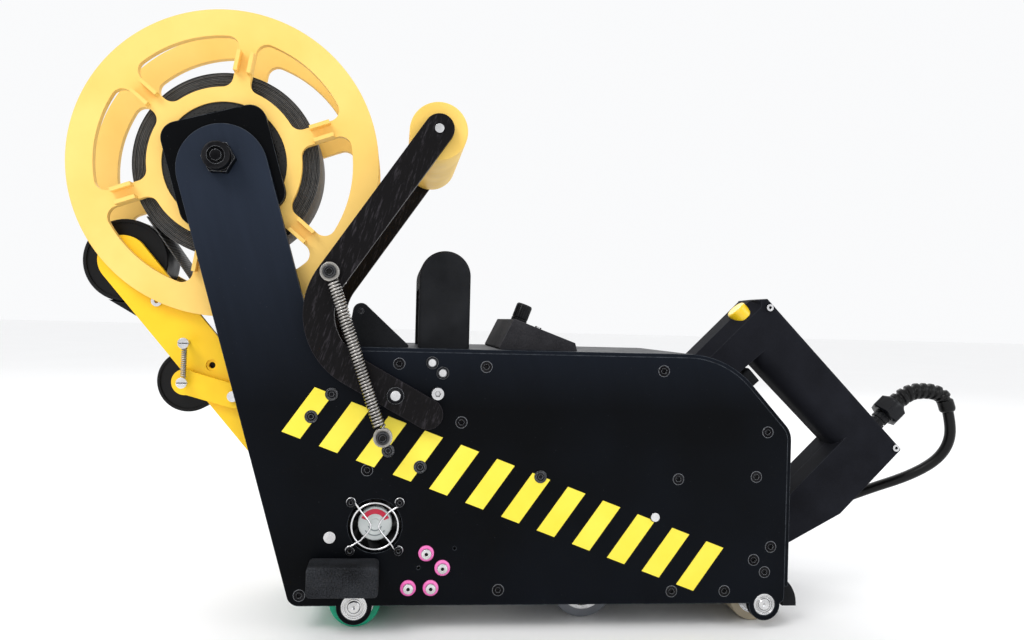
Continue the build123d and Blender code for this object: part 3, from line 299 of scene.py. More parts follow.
def plastic(name, dark, light, roughness=0.4, grain=0.03, coat=0.0, scale=800, specular=0.35):
    """Moulded or painted plastic with slight colour drift and a fine skin."""
    finish = Finish(name, roughness, coat=coat, specular=specular)
    drift = finish.ranged(finish.noise(30, 4), 0.3, 0.7)
    finish.colour(finish.blend(drift, dark, light))
    skin = finish.noise(scale, 3)
    finish.gloss(finish.ranged(finish.noise(120, 4), 0.3, 0.7, roughness - 0.06, roughness + 0.1))
    finish.soft_edges(0.5 * MM)
    return finish.relief(skin, grain * MM, 0.6).material


def metal(name, dark, light, roughness=0.3, rim=None, recess_shade=(0.02, 0.02, 0.02), scale=700):
    """Bare or blackened steel: machining and handling marks, a painted highlight on its rims, and painted shade in
    holes.
    """
    finish = Finish(name, roughness, metallic=1.0)
    marks = finish.noise(scale, 4, 0.6)
    body = finish.blend(finish.ranged(finish.noise(90, 4), 0.35, 0.7), dark, light)
    # Painted highlight on sharp rims.
    if rim:
        body = finish.blend(finish.rims(0.35 * MM), body, rim)
    # Painted shade: the last colour darkens holes and grooves.
    finish.colour(finish.blend(finish.recesses(1.6 * MM), body, recess_shade))
    finish.gloss(finish.ranged(marks, 0.3, 0.7, roughness - 0.1, roughness + 0.12))
    finish.soft_edges(0.25 * MM)
    return finish.relief(marks, 0.02 * MM, 0.5).material


def wound_strap():
    """Side of a tightly wound strap: fine light and dark rings about the reel's axle, mixed with patchy noise."""
    finish = Finish("wound_strap", 0.62, specular=0.25)
    rings = finish.bands(310, 2.2, kind="RINGS", direction="Y", origin=mm(REEL[0], 0, REEL[1]))
    wear = finish.noise(140, 5, 0.7)
    mixed = finish.plus(finish.times(rings, 0.55), finish.times(wear, 0.45))
    shade = finish.ranged(mixed, 0.25, 0.8)
    finish.colour(finish.blend(shade, (0.010, 0.0105, 0.0115), (0.135, 0.133, 0.130)))
    finish.soft_edges(0.3 * MM)
    return finish.relief(mixed, 0.15 * MM, 0.8).material


def dotted_core():
    """Moulded black core with a fine grid of dimples."""
    finish = Finish("reel_core_black", 0.5, specular=0.25)
    dots = finish.ranged(finish.cells(620), 0.15, 0.45)
    finish.colour(finish.blend(dots, (0.003, 0.003, 0.0035), (0.022, 0.021, 0.019)))
    finish.soft_edges(0.4 * MM)
    return finish.relief(dots, 0.2 * MM, 0.8).material


# The last colour here is a painted reflection, brightest high on the plates.
PLATE = powder_coat(
    "plate_black", (0.0010, 0.0014, 0.0022), (0.0026, 0.0038, 0.0065),
    painted_reflection=(0.019, 0.026, 0.042),
)
SHADE_PLATE = powder_coat(
    "brake_plate_black", (0.0008, 0.0010, 0.0013), (0.0020, 0.0024, 0.0032),
    specular=0.04,
)
# For each steel, the colour after the roughness is a painted highlight on its rims, and the one after that is
# painted shade in its holes.
SCREW = metal(
    "screw_black", (0.006, 0.006, 0.007), (0.022, 0.022, 0.024),
    0.38, (0.32, 0.33, 0.35), (0.001, 0.001, 0.001),
)
STEEL = metal(
    "steel", (0.56, 0.56, 0.57), (0.78, 0.78, 0.79),
    0.24, (0.95, 0.95, 0.96), (0.06, 0.055, 0.05),
)
DARK_STEEL = metal("dark_steel", (0.20, 0.19, 0.18), (0.40, 0.385, 0.36), 0.30, (0.80, 0.78, 0.74))
SPRING_STEEL = metal(
    "spring_steel", (0.26, 0.25, 0.24), (0.50, 0.48, 0.46),
    0.24, recess_shade=(0.015, 0.014, 0.013),
)
WIRE = metal("chrome_wire", (0.66, 0.66, 0.68), (0.86, 0.86, 0.87), 0.16, recess_shade=(0.2, 0.2, 0.2))
PRINTED = printed("printed_black", (0.0035, 0.004, 0.0048), (0.020, 0.021, 0.024))
BOX = printed("control_box_black", (0.010, 0.010, 0.012), (0.046, 0.045, 0.050), grain=0.07)
BLOCK = printed(
    "wheel_cover_black", (0.0015, 0.0018, 0.0024), (0.042, 0.045, 0.052),
    grain=0.4, layers=0.02, scale=1000,
)
HANDLE = printed("handle_black", (0.0036, 0.004, 0.006), (0.0125, 0.0135, 0.019), grain=0.07)
ARM = streaked("arm_black", (0.0035, 0.003, 0.0036), (0.040, 0.036, 0.042), 72.0)
FLANGE = plastic("flange_yellow", (0.90, 0.575, 0.135), (0.97, 0.645, 0.18), 0.6, 0.05, scale=1300)
ROLLER_PLATE = plastic("plate_yellow", (0.96, 0.56, 0.010), (1.0, 0.66, 0.018), 0.42, 0.03)
DANCER_YELLOW = plastic("roller_yellow", (0.84, 0.53, 0.095), (0.95, 0.64, 0.15), 0.5, 0.06, scale=1400)
BUTTON = plastic("button_yellow", (0.88, 0.58, 0.012), (0.98, 0.70, 0.03), 0.3, 0.02, coat=0.3)
DECAL = plastic("decal_yellow", (0.88, 0.72, 0.045), (0.95, 0.79, 0.075), 0.42, 0.02)
STRAP = wound_strap()
CORE = dotted_core()
RUBBER = plastic(
    "roller_black", (0.0015, 0.0015, 0.0018), (0.006, 0.006, 0.007),
    0.42, 0.05, scale=1500, specular=0.2,
)
CABLE = plastic(
    "cable_black", (0.0015, 0.0015, 0.0018), (0.0045, 0.0045, 0.005),
    0.3, 0.03, scale=1500, specular=0.2,
)
GLAND = plastic("gland_black", (0.002, 0.0024, 0.0036), (0.006, 0.0068, 0.009), 0.3, 0.04, specular=0.22)
GREEN = plastic("tyre_green", (0.004, 0.30, 0.16), (0.01, 0.44, 0.25), 0.45, 0.06, scale=1200)
BEIGE = plastic("tyre_beige", (0.30, 0.25, 0.17), (0.44, 0.38, 0.28), 0.6, 0.06, scale=1200)
GREY = plastic("tyre_grey", (0.09, 0.10, 0.115), (0.17, 0.18, 0.20), 0.55, 0.06, scale=1200)
PINK = plastic("washer_pink", (0.80, 0.10, 0.42), (0.92, 0.20, 0.55), 0.28, 0.01, coat=0.5)
FAN_BLACK = plastic("fan_black", (0.003, 0.003, 0.0035), (0.009, 0.009, 0.010), 0.45, 0.03, specular=0.2)
FAN_WHITE = plastic("fan_white", (0.58, 0.62, 0.62), (0.80, 0.83, 0.83), 0.35, 0.02)
FAN_RED = plastic("fan_red", (0.62, 0.02, 0.06), (0.75, 0.03, 0.08), 0.35, 0.01)
FAN_MARK = plastic("fan_mark", (0.20, 0.24, 0.25), (0.34, 0.38, 0.38), 0.4, 0.01)
MOTOR = powder_coat("motor_can", (0.05, 0.05, 0.055), (0.11, 0.11, 0.12), roughness=0.35)
BOARD = plastic("board_green", (0.008, 0.09, 0.03), (0.02, 0.16, 0.06), 0.35, 0.03)

PAINT = {
    PLATE: ["near_side_plate", "far_side_plate", "top_cover"],
    SHADE_PLATE: ["brake_plate"],
    SCREW: ["plate_screws", "reel_axle_nut", "fan_guard_screws"],
    STEEL: [
        "tie_rods", "screw_bosses", "case_screws", "dancer_rods", "press_axle", "plate_pins", "side_studs",
        "cup_washer_screws", "strap_guide",
    ],
    DARK_STEEL: ["reel_axle", "spring_bolt_arm", "spring_bolt_plate"],
    PRINTED: ["arch_handle", "guide_bracket", "latch_block", "roller_shoe", "rear_skirt"],
    BOX: ["control_box"],
    BLOCK: ["wheel_cover_block"],
    HANDLE: ["handle_near_half", "handle_far_half"],
    ARM: ["dancer_arms"],
    FLANGE: ["reel_flange_near", "reel_flange_far"],
    ROLLER_PLATE: ["roller_plate", "press_lever"],
    BUTTON: ["trigger_button"],
    DECAL: ["side_decal"],
    STRAP: ["strap_tail"],
    CORE: ["reel_core"],
    RUBBER: ["guide_roller", "press_roller"],
    PINK: ["cup_washers"],
    FAN_BLACK: ["fan_frame"],
    MOTOR: ["drive_motor"],
    BOARD: ["control_board"],
}  # fmt: skip
for finish, names in PAINT.items():
    for name in names:
        for holder in nodes[name].material_slots:
            holder.material = finish


# ---- mesh helpers ----


def placed(x, y, z, axis):
    """Matrix that stands local +Z along axis, with its origin at a point in millimetres."""
    turn = Vector(axis).to_track_quat("Z", "Y").to_matrix().to_4x4()
    return Matrix.Translation(mm(x, y, z)) @ turn


def along_y(centre, y=0.0, facing=1.0):
    """Matrix for a turned piece about a Y axis at an (x, z) centre."""
    return placed(centre[0], y, centre[1], (0, facing, 0))


def new_piece(name, vertices, faces, material, smooth=30.0):
    """Mesh object from points in metres, smooth-shaded up to that many degrees between faces."""
    mesh = bpy.data.meshes.new(name)
    mesh.from_pydata([tuple(v) for v in vertices], [], faces)
    solid = bmesh.new()
    solid.from_mesh(mesh)
    bmesh.ops.remove_doubles(solid, verts=solid.verts, dist=1e-7)
    bmesh.ops.recalc_face_normals(solid, faces=solid.faces)
    solid.to_mesh(mesh)
    solid.free()
    mesh.materials.append(material)
    piece = bpy.data.objects.new(name, mesh)
    bpy.context.scene.collection.objects.link(piece)
    mesh.shade_smooth()
    with bpy.context.temp_override(active_object=piece, object=piece, selected_editable_objects=[piece]):
        bpy.ops.object.shade_smooth_by_angle(angle=math.radians(smooth))
    return piece


def turned(name, profile, place, material, segments=72, shape=None, closed=True, smooth=30.0):
    """Turned piece: profile is (radius, height) in millimetres, and shape may alter each point's radius.

    A closed profile is a ring, and an open one runs from axis to axis.
    """
    vertices = []
    for radius, height in profile:
        for k in range(segments):
            angle = 2 * math.pi * k / segments
            reach = shape(radius, height, angle) if shape else radius
            vertices.append(place @ mm(reach * math.cos(angle), reach * math.sin(angle), height))
    faces = []
    rows = len(profile)
    for row in range(rows if closed else rows - 1):
        after = (row + 1) % rows
        for k in range(segments):
            n = (k + 1) % segments
            near, far = row * segments, after * segments
            faces.append((near + k, near + n, far + n, far + k))
    if not closed:
        faces.append(tuple(reversed(range(segments))))
        faces.append(tuple((rows - 1) * segments + k for k in range(segments)))
    return new_piece(name, vertices, faces, material, smooth)


def hexagon(flat):
    """Shape for turned(): a hexagon of that half width across flats, its corners cut by the profile."""

    def shape(radius, height, angle):
        from_flat = (angle + math.pi / 6) % (math.pi / 3) - math.pi / 6
        return min(radius, flat / math.cos(from_flat))

    return shape


def tube(name, points, radius, material, cyclic=False, sides=5):
    """Mesh tube of that radius in millimetres along points in metres."""
    curve = bpy.data.curves.new(name, "CURVE")
    curve.dimensions = "3D"
    curve.bevel_depth = radius * MM
    curve.bevel_resolution = sides
    curve.use_fill_caps = True
    spline = curve.splines.new("POLY")
    spline.points.add(len(points) - 1)
    for knot, point in zip(spline.points, points):
        knot.co = (*point, 1.0)
    spline.use_cyclic_u = cyclic
    holder = bpy.data.objects.new(name + "_line", curve)
    bpy.context.scene.collection.objects.link(holder)
    bpy.context.view_layer.update()
    mesh = bpy.data.meshes.new_from_object(holder.evaluated_get(bpy.context.evaluated_depsgraph_get()))
    bpy.data.objects.remove(holder)
    mesh.materials.clear()
    mesh.materials.append(material)
    mesh.shade_smooth()
    piece = bpy.data.objects.new(name, mesh)
    bpy.context.scene.collection.objects.link(piece)
    return piece


def smooth_line(points):
    """Points in metres read off a quadratic NURBS line; its control points are in millimetres."""
    curve = bpy.data.curves.new("line", "CURVE")
    curve.dimensions = "3D"
    curve.resolution_u = 12
    add_spline(curve, points)
    holder = bpy.data.objects.new("line", curve)
    bpy.context.scene.collection.objects.link(holder)
    bpy.context.view_layer.update()
    mesh = bpy.data.meshes.new_from_object(holder.evaluated_get(bpy.context.evaluated_depsgraph_get()))
    line = [v.co.copy() for v in mesh.vertices]
    bpy.data.objects.remove(holder)
    return line


def add_spline(curve, points):
    spline = curve.splines.new("NURBS")
    spline.points.add(len(points) - 1)
    for knot, point in zip(spline.points, points):
        knot.co = (*mm(*point), 1.0)
    spline.order_u = 3
    spline.use_endpoint_u = True


def sleeve(name, line, thickness, material, segments=40):
    """Tube along a line in metres; thickness(distance, angle) gives its radius in millimetres."""
    heading = (line[1] - line[0]).normalized()
    across = heading.cross(Vector((0, 1, 0))).normalized()
    travelled = 0.0
    vertices = []
    for k, point in enumerate(line):
        ahead = line[min(k + 1, len(line) - 1)] - line[max(k - 1, 0)]
        turn = heading.rotation_difference(ahead.normalized())
        across.rotate(turn)
        heading = ahead.normalized()
        upward = heading.cross(across)
        if k:
            travelled += (point - line[k - 1]).length / MM
        for s in range(segments):
            angle = 2 * math.pi * s / segments
            reach = thickness(travelled, angle) * MM
            vertices.append(point + across * reach * math.cos(angle) + upward * reach * math.sin(angle))
    faces = []
    for row in range(len(line) - 1):
        for s in range(segments):
            n = (s + 1) % segments
            near, far = row * segments, (row + 1) * segments
            faces.append((near + s, near + n, far + n, far + s))
    last = (len(line) - 1) * segments
    faces.append(tuple(reversed(range(segments))))
    faces.append(tuple(last + s for s in range(segments)))
    return new_piece(name, vertices, faces, material, 50.0)


def resampled(line, step):
    """The line's points spaced evenly, step in metres."""
    spaced = [line[0]]
    left = step
    for start, end in zip(line, line[1:]):
        span = (end - start).length
        while left <= span:
            spaced.append(start.lerp(end, left / span))
            left += step
        left -= span
    return spaced + [line[-1]]


def settle(piece, body, slot, *replaced):
    """Attaches a piece to the body it rides on and hides the CAD nodes that it stands for; the slot, naming its
    finish, is not used.
    """
    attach(piece, body)
    if replaced:
        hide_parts(*replaced)
    return piece


# ---- camera at the photograph's angle ----
camera_data = bpy.data.cameras.new("camera")
camera_data.lens = 28.125
camera_data.sensor_width = 36.0
camera_data.shift_x = 0.043
camera_data.clip_start = 0.01
camera = bpy.data.objects.new("camera", camera_data)
bpy.context.scene.collection.objects.link(camera)
bpy.context.scene.camera = camera
CAMERA_TURN = math.radians(5.15)
facing = Vector((math.sin(CAMERA_TURN), math.cos(CAMERA_TURN), 0))
looking = facing.to_track_quat("-Z", "Y").to_matrix().to_4x4()
camera.matrix_world = Matrix.Translation(mm(-84.0, -594.0, 209.7)) @ looking @ Matrix.Rotation(
    math.radians(1.44), 4, "Z"
)

# ---- mains cord: gland, ribbed strain relief, lead, coil and plug ----
RELIEF_ROUTE = [
    (307.6, 0, 153.3), (316.2, 0, 161.7), (333.0, 0, 163.5), (344.5, 0, 160.8), (349.0, 0, 155.0),
    (351.0, 0, 147.0),
]  # fmt: skip
CABLE_ROUTE = [
    (351.0, 0, 147.0), (353.9, 0, 135.4), (353.6, 1.5, 122.0), (348.3, 5.0, 109.8), (338.0, 10.5, 99.5),
    (324.5, 18.5, 90.0), (308.5, 30.0, 80.5), (278.0, 50.0, 61.0), (240.0, 67.0, 31.0), (200.0, 77.0, 10.0),
    (161.0, 79.5, 4.0), (125.0, 76.0, 4.1), (98.0, 72.0, 4.0), (78.0, 72.2, 4.0),
]  # fmt: skip
TAIL_ROUTE = [
    (60.0, 72.0, 12.0), (38.0, 73.0, 12.5), (16.0, 81.5, 17.5), (-3.0, 85.0, 18.7), (-20.0, 85.0, 18.7),
]  # fmt: skip
COIL_CENTRE = (70.0, 128.0)
COIL_TURNS = 7
TURN_POINTS = 24


def eased(value, low, high):
    """0 before low, 1 after high, and a smooth step between."""
    t = min(1.0, max(0.0, (value - low) / (high - low)))
    return t * t * (3 - 2 * t)


coil = []
for step in range(1, COIL_TURNS * TURN_POINTS):
    turn = step / TURN_POINTS
    if turn < 4:
        reach = 56.0 - 8.0 * min(turn, 3.7) + (33.2 - 26.4) * eased(turn, 3.7, 4.0)
    else:
        reach = 33.2 + 8.0 * (turn - 4)
    angle = -math.pi / 2 - 2 * math.pi * turn
    height = CABLE_R + 2 * CABLE_R * eased(turn, 3.0, 3.7)
    out_by = 1.005 * reach
    coil.append((COIL_CENTRE[0] + out_by * math.cos(angle), COIL_CENTRE[1] + out_by * math.sin(angle), height))

lead_curve = bpy.data.curves.new("mains_lead", "CURVE")
lead_curve.dimensions = "3D"
lead_curve.resolution_u = 6
lead_curve.bevel_depth = CABLE_R * MM
lead_curve.bevel_resolution = 5
lead_curve.use_fill_caps = True
add_spline(lead_curve, CABLE_ROUTE + coil + TAIL_ROUTE)
lead_curve.materials.append(CABLE)
lead = bpy.data.objects.new("mains_lead", lead_curve)
bpy.context.scene.collection.objects.link(lead)

relief_line = resampled(smooth_line(RELIEF_ROUTE), 0.5 * MM)
RELIEF_LENGTH = 0.5 * (len(relief_line) - 1)
COLLAR = 9.0
RIBS = 8
RIB_PITCH = (RELIEF_LENGTH - COLLAR) / RIBS


def rib(travelled, angle):
    """Radius of the strain relief: slanting ribs on a tapering core, then a smooth rounded collar."""
    left = RELIEF_LENGTH - travelled
    taper = 1 - 0.12 * travelled / RELIEF_LENGTH
    phase = (travelled / RIB_PITCH + angle / (2 * math.pi)) % 1.0
    ridge = eased(phase, 0.0, 0.16) - eased(phase, 0.60, 0.76)
    ribbed = (5.0 + 1.6 * ridge) * taper
    smooth = 4.1 + 1.8 * math.sqrt(max(0.0, 1 - (1 - min(1.0, left / 3.0)) ** 2))
    return ribbed + (smooth - ribbed) * (1 - eased(left, COLLAR - 1.0, COLLAR + 1.0))


relief = sleeve("ribbed_strain_relief", relief_line, rib, CABLE)
settle(relief, "chassis", "cable_black", "strain_relief")

gland_axis = (math.cos(math.radians(GLAND_TILT)), 0, math.sin(math.radians(GLAND_TILT)))
gland_place = placed(*GLAND_AT, gland_axis)


def gland_shape(radius, height, angle):
    """Castellated neck next to the handle, hexagonal nut, round dome."""
    if height < 12.0:
        return radius - 0.5 * (radius > 5.9) * (math.sin(12 * angle) > 0)
    if height < 24.5:
        return hexagon(10.2)(radius, height, angle)
    return radius


gland_profile = [
    (0.01, -3.0), (5.0, -3.0), (5.0, 1.6), (6.2, 1.8), (6.2, 5.6), (5.2, 6.0), (5.2, 7.2), (6.2, 7.6), (6.2, 11.8),
    (6.0, 12.3), (9.6, 12.5), (11.6, 13.5), (11.6, 23.1), (9.9, 24.5), (8.6, 24.7), (8.3, 25.7), (7.5, 26.7),
    (6.4, 27.0), (0.01, 27.0),
]  # fmt: skip
gland = turned("gland_nut", gland_profile, gland_place, GLAND, 144, gland_shape, closed=False)
settle(gland, "chassis", "gland_black", "cable_gland")


def grip(radius, height, angle):
    """Finger ribs on the plug's neck and flats on its body's sides."""
    if 3.0 < height < 20.0:
        return radius - 0.7 * (math.sin(height * 2 * math.pi / 3.4) > 0.2)
    if height > 31.0:
        return min(radius, 15.5 / max(1e-6, abs(math.sin(angle))))
    return radius


plug_profile = [(0.01, 0.0), (4.7, 0.0), (5.2, 0.8)]
plug_profile += [(5.4 + 0.012 * step**1.9, 1.5 + 0.55 * step) for step in range(1, 34)]
plug_profile += [
    (16.2, 24.5), (18.0, 27.5), (18.6, 30.5), (18.6, 40.0), (18.1, 40.4), (18.1, 41.2), (18.6, 41.6), (18.6, 44.6),
    (17.6, 45.8), (0.01, 46.0),
]  # fmt: skip
plug_place = placed(-20.0, 85.0, 18.7, (-1, 0, 0))
plug = turned("plug_body", plug_profile, plug_place, CABLE, 96, grip, closed=False)
settle(plug, "chassis", "cable_black", "mains_plug")
PIN = [(0.01, 0.0), (2.4, 0.0), (2.4, 16.8), (1.9, 18.0), (1.2, 18.45), (0.01, 18.5)]
for side, y in (("left", 75.5), ("right", 94.5)):
    pin = turned(f"plug_pin_{side}", PIN, placed(-66.0, y, 18.7, (-1, 0, 0)), STEEL, 32, closed=False)
    settle(pin, "chassis", "steel", "mains_plug")

settle(lead, "chassis", "cable_black", "cable_run", "cable_coil", "cable_tail")

# ---- springs ----


def coil_spring(name, start, end, y, radius, wire, turns, loop, material):
    """Tension spring between two pins in the X-Z plane: a close coil with a round hook at each end."""
    first, last = mm(start[0], y, start[1]), mm(end[0], y, end[1])
    along = (last - first).normalized()
    across = along.cross(Vector((0, 1, 0))).normalized()
    outward = Vector((0, -1, 0))
    begin = first + along * (loop + radius) * MM
    finish = last - along * (loop + radius) * MM
    points = []
    for eye, pin in ((first, 1), (last, -1)):
        ring = []
        for k in range(15):
            angle = math.radians(40 + k * 20) if pin > 0 else math.radians(320 - k * 20)
            lean = along * pin * math.cos(angle) * 1.25 + across * pin * math.sin(angle)
            ring.append(eye + lean * (loop + wire / 2) * MM)
        points.append(ring)
    body = []
    samples = turns * 20
    for k in range(samples + 1):
        angle = 2 * math.pi * k / 20
        reach = (radius - wire / 2) * MM
        round_axis = across * reach * math.cos(angle) + outward * reach * math.sin(angle)
        body.append(begin.lerp(finish, k / samples) + round_axis)
    line = list(reversed(points[0])) + body + list(reversed(points[1]))
    return tube(name, line, wire / 2, material, sides=4)


dancer_coil = coil_spring(
    "dancer_coil_spring", SPRING_TOP, SPRING_FOOT, SPRING_Y, radius=4.3, wire=1.6, turns=47, loop=3.0,
    material=SPRING_STEEL,
)  # fmt: skip
settle(dancer_coil, "spring_link", "steel", "dancer_spring")
press_coil = coil_spring(
    "press_coil_spring", PRESS_SPRING_TOP, PRESS, PRESS_SPRING_Y, radius=2.0, wire=0.8, turns=15, loop=1.75,
    material=SPRING_STEEL,
)  # fmt: skip
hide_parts("press_spring")
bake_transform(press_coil)  # fmt: skip

# ---- reel: the strap's wraps ----
WRAPS = 24
CORE_RADIUS, COIL_RADIUS = 44.0, 62.5
STRAP_Y = (-40.0, -2.0)


def wraps(face, inward):
    """Edge-on rings of strap, each a little in or out of its neighbours."""
    rim = []
    for wrap in range(WRAPS):
        low = CORE_RADIUS + (COIL_RADIUS - CORE_RADIUS) * wrap / WRAPS
        high = CORE_RADIUS + (COIL_RADIUS - CORE_RADIUS) * (wrap + 1) / WRAPS
        proud = face + inward * random.uniform(0.05, 0.75)
        gap = proud + inward * 0.5
        rim += [(low + 0.05, gap), (low + 0.16, proud), (high - 0.16, proud), (high - 0.05, gap)]
    return rim


strap_profile = wraps(STRAP_Y[0], 1.0) + list(reversed(wraps(STRAP_Y[1], -1.0)))
strap = turned("wound_strap_coil", strap_profile, along_y(REEL), STRAP, 180)
settle(strap, "reel", "strap_grey", "strap_coil")

# ---- dancer roller ----
roller_profile = [(3.1, -61.6), (3.6, -62.0), (8.0, -62.0), (13.0, -61.95), (17.0, -62.0), (18.9, -62.0),
                  (19.35, -61.7), (19.5, -61.1)]  # fmt: skip
roller_profile += [(19.5, y) for y in (-40.0, -20.0, 0.0, 20.0, 40.0)]
roller_profile += [(radius, -height) for radius, height in reversed(roller_profile[:8])]
dancer_sleeve = turned("dancer_sleeve", roller_profile, along_y(DANCER_ROLLER), DANCER_YELLOW, 120)
settle(dancer_sleeve, "dancer_roll", "roller_yellow", "dancer_roller")

# ---- wheels, hubs and bearings ----


def tyre(name, centre, inner, outer, half, material, body, slot, node):
    """Tyre with rounded shoulders and shallow turned grooves near its edges."""
    edge = [(inner, -half), (outer - 1.6, -half), (outer - 0.5, -half + 0.5), (outer, -half + 1.7)]
    edge += [(outer, -half + 5.0), (outer - 0.5, -half + 5.4), (outer - 0.5, -half + 6.4), (outer, -half + 6.8)]
    profile = edge + [(radius, -height) for radius, height in reversed(edge)]
    return settle(turned(name, profile, along_y(centre), material, 120), body, slot, node)


def hub(name, centre, radius, half, shaft_end, shaft, body, slot, node):
    """Turned hub that is one with its shaft, with a recessed face and a centred shaft end."""
    side = [(0.01, -shaft_end + 0.9), (1.3, -shaft_end), (shaft - 0.5, -shaft_end), (shaft, -shaft_end + 0.5)]
    side += [(shaft, -half - 0.6), (shaft + 2.2, -half - 0.6), (shaft + 2.6, -half)]
    side += [(radius - 2.6, -half), (radius - 2.2, -half + 0.9), (radius - 0.9, -half + 0.9)]
    side += [(radius - 0.4, -half), (radius, -half)]
    profile = side + [(r, -height) for r, height in reversed(side)]
    piece = turned(name, profile, along_y(centre), STEEL, 96, closed=False)
    return settle(piece, body, slot, node)


def bearing(name, centre, outer, near):
    """Ball bearing let into a side plate: outer ring, shield, inner ring."""
    bore = 4.06
    face = 60.0
    step = (outer - bore) / 10
    half = [
        (bore, 0.4), (bore + 0.3, 0.1), (bore + 2.4 * step, 0.1), (bore + 2.6 * step, 0.7), (bore + 4.8 * step, 0.8),
        (bore + 5.0 * step, 0.5), (bore + 7.2 * step, 0.5), (bore + 7.4 * step, 0.15), (outer - 0.3, 0.15),
        (outer, 0.45),
    ]  # fmt: skip
    profile = half + [(outer, 5.0), (bore, 5.0)]
    place = along_y(centre, -face if near else face, 1.0 if near else -1.0)
    piece = turned(name, profile, place, STEEL, 96)
    return settle(piece, "chassis", "steel", "wheel_bearings")


tyre("front_tyre", FRONT_WHEEL, 13.0, 17.5, 49.0, GREEN, "front_wheel", "tyre_green", "drive_wheel")
hub("front_hub", FRONT_WHEEL, 13.0, 49.0, 60.5, 4.0, "front_wheel", "steel", "drive_wheel")
tyre("rear_tyre", REAR_ROLLER, 12.0, 17.5, 43.0, BEIGE, "rear_roll", "tyre_beige", "rear_roller")
hub("rear_hub", REAR_ROLLER, 12.0, 43.0, 60.5, 4.0, "rear_roll", "steel", "rear_roller")
for place_name, centre, outer in (("front", FRONT_WHEEL, 8.8), ("rear", REAR_ROLLER, 7.6)):
    bearing(f"{place_name}_bearing_near", centre, outer, True)
    bearing(f"{place_name}_bearing_far", centre, outer, False)
tyre("middle_tyre", MIDDLE_ROLLER, 16.6, 22.5, 34.0, GREY, "middle_roll", "tyre_grey", "mid_roller")
ring = [(3.1, -33.6), (6.0, -33.6), (6.4, -32.4), (13.6, -32.4), (14.0, -33.8), (16.6, -33.8)]
ring += [(radius, -height) for radius, height in reversed(ring)]
middle_hub = turned("middle_hub", ring, along_y(MIDDLE_ROLLER), STEEL, 96)
settle(middle_hub, "middle_roll", "steel", "mid_roller")

# ---- knob on the sloped face ----
knob_axis = (math.sin(math.radians(KNOB_TILT)), 0, math.cos(math.radians(KNOB_TILT)))


def fluted(radius, height, angle):
    """Fine flutes round the knob's skirt."""
    if radius > 5.5 and height < 13.5:
        return radius - 0.45 * max(0.0, math.cos(18 * angle))
    return radius


knob_profile = [
    (0.01, -7.0), (3.0, -7.0), (3.0, 0.6), (5.4, 0.6), (6.0, 1.0), (6.0, 3.6), (5.6, 4.0), (6.0, 4.4), (6.0, 13.4),
    (5.8, 14.2), (5.2, 15.0), (4.2, 15.1), (3.9, 14.8), (0.01, 14.7),
]  # fmt: skip
knob = turned("fluted_knob", knob_profile, placed(*KNOB_AT, knob_axis), GLAND, 144, fluted, closed=False)
settle(knob, "speed_knob", "gland_black", "knob")

# ---- fan: wire guard, hub with its label, blades ----
guard_y = -60.0 - 0.7


def on_fan(x, z, y=guard_y):
    return mm(FAN[0] + x, y, FAN[1] + z)


def arc(radius, start, end, steps, centre=(0.0, 0.0)):
    """Points in the fan's plane along an arc, degrees anticlockwise from +X."""
    angles = [math.radians(start + (end - start) * k / steps) for k in range(steps + 1)]
    return [on_fan(centre[0] + radius * math.cos(a), centre[1] + radius * math.sin(a)) for a in angles]


half_pitch = FAN_PITCH / 2
guard_wires = [tube("guard_ring", arc(15.4, 0, 354, 60), 0.65, WIRE, cyclic=True)]
for side, sign in (("left", -1), ("right", 1)):
    line = []
    for way in (1, -1):
        bearing_angle = math.degrees(math.atan2(way, sign))
        eye_centre = (sign * half_pitch, way * half_pitch)
        eye = arc(2.65, bearing_angle + 180 - 35, bearing_angle - 180 + 35, 18, eye_centre)
        line += eye if way > 0 else list(reversed(eye))
        if way > 0:
            waist = [(9.0, 9.4), (4.4, 4.0), (2.9, 1.4), (2.5, 0), (2.9, -1.4), (4.4, -4.0), (9.0, -9.4)]
            line += [on_fan(sign * x, z) for x, z in waist]
    guard_wires.append(tube(f"guard_wire_{side}", line, 0.65, WIRE))
for wire in guard_wires:
    settle(wire, "chassis", "chrome_wire", "fan_guard")

hub_place = along_y(FAN, -54.0, 1.0)
hub_profile = [
    (0.01, 0.3), (3.2, 0.3), (3.5, 0.0), (10.3, 0.0), (11.1, 0.3), (11.5, 1.1), (11.5, 7.0), (1.4, 7.0), (1.4, 9.0),
    (0.01, 9.0),
]  # fmt: skip
fan_hub = turned("fan_hub", hub_profile, hub_place, FAN_WHITE, 96, closed=False)
settle(fan_hub, "fan", "fan_white", "fan_rotor")


def label_patch(name, inner, outer, start, end, material):
    """Thin curved patch on the hub's face, between two radii and two angles in degrees."""
    steps = 24
    vertices = []
    for depth in (-54.0, -54.12):
        for radius in (inner, outer):
            for k in range(steps + 1):
                angle = math.radians(start + (end - start) * k / steps)
                vertices.append(on_fan(radius * math.cos(angle), radius * math.sin(angle), depth))
    row = steps + 1
    faces = []
    for k in range(steps):
        faces.append((k, k + 1, row + k + 1, row + k))
        faces.append((2 * row + k, 3 * row + k, 3 * row + k + 1, 2 * row + k + 1))
        faces.append((k, 2 * row + k, 2 * row + k + 1, k + 1))
        faces.append((row + k, row + k + 1, 3 * row + k + 1, 3 * row + k))
    faces += [(0, row, 3 * row, 2 * row), (steps, 2 * row + steps, 3 * row + steps, row + steps)]
    return settle(new_piece(name, vertices, faces, material), "fan", "fan_white", "fan_rotor")


label_patch("fan_label_band", 6.6, 9.9, 22.0, 158.0, FAN_RED)
label_patch("fan_label_strip", 4.2, 5.0, 200.0, 340.0, FAN_MARK)
label_patch("fan_label_foot", 7.4, 8.2, 215.0, 325.0, FAN_MARK)

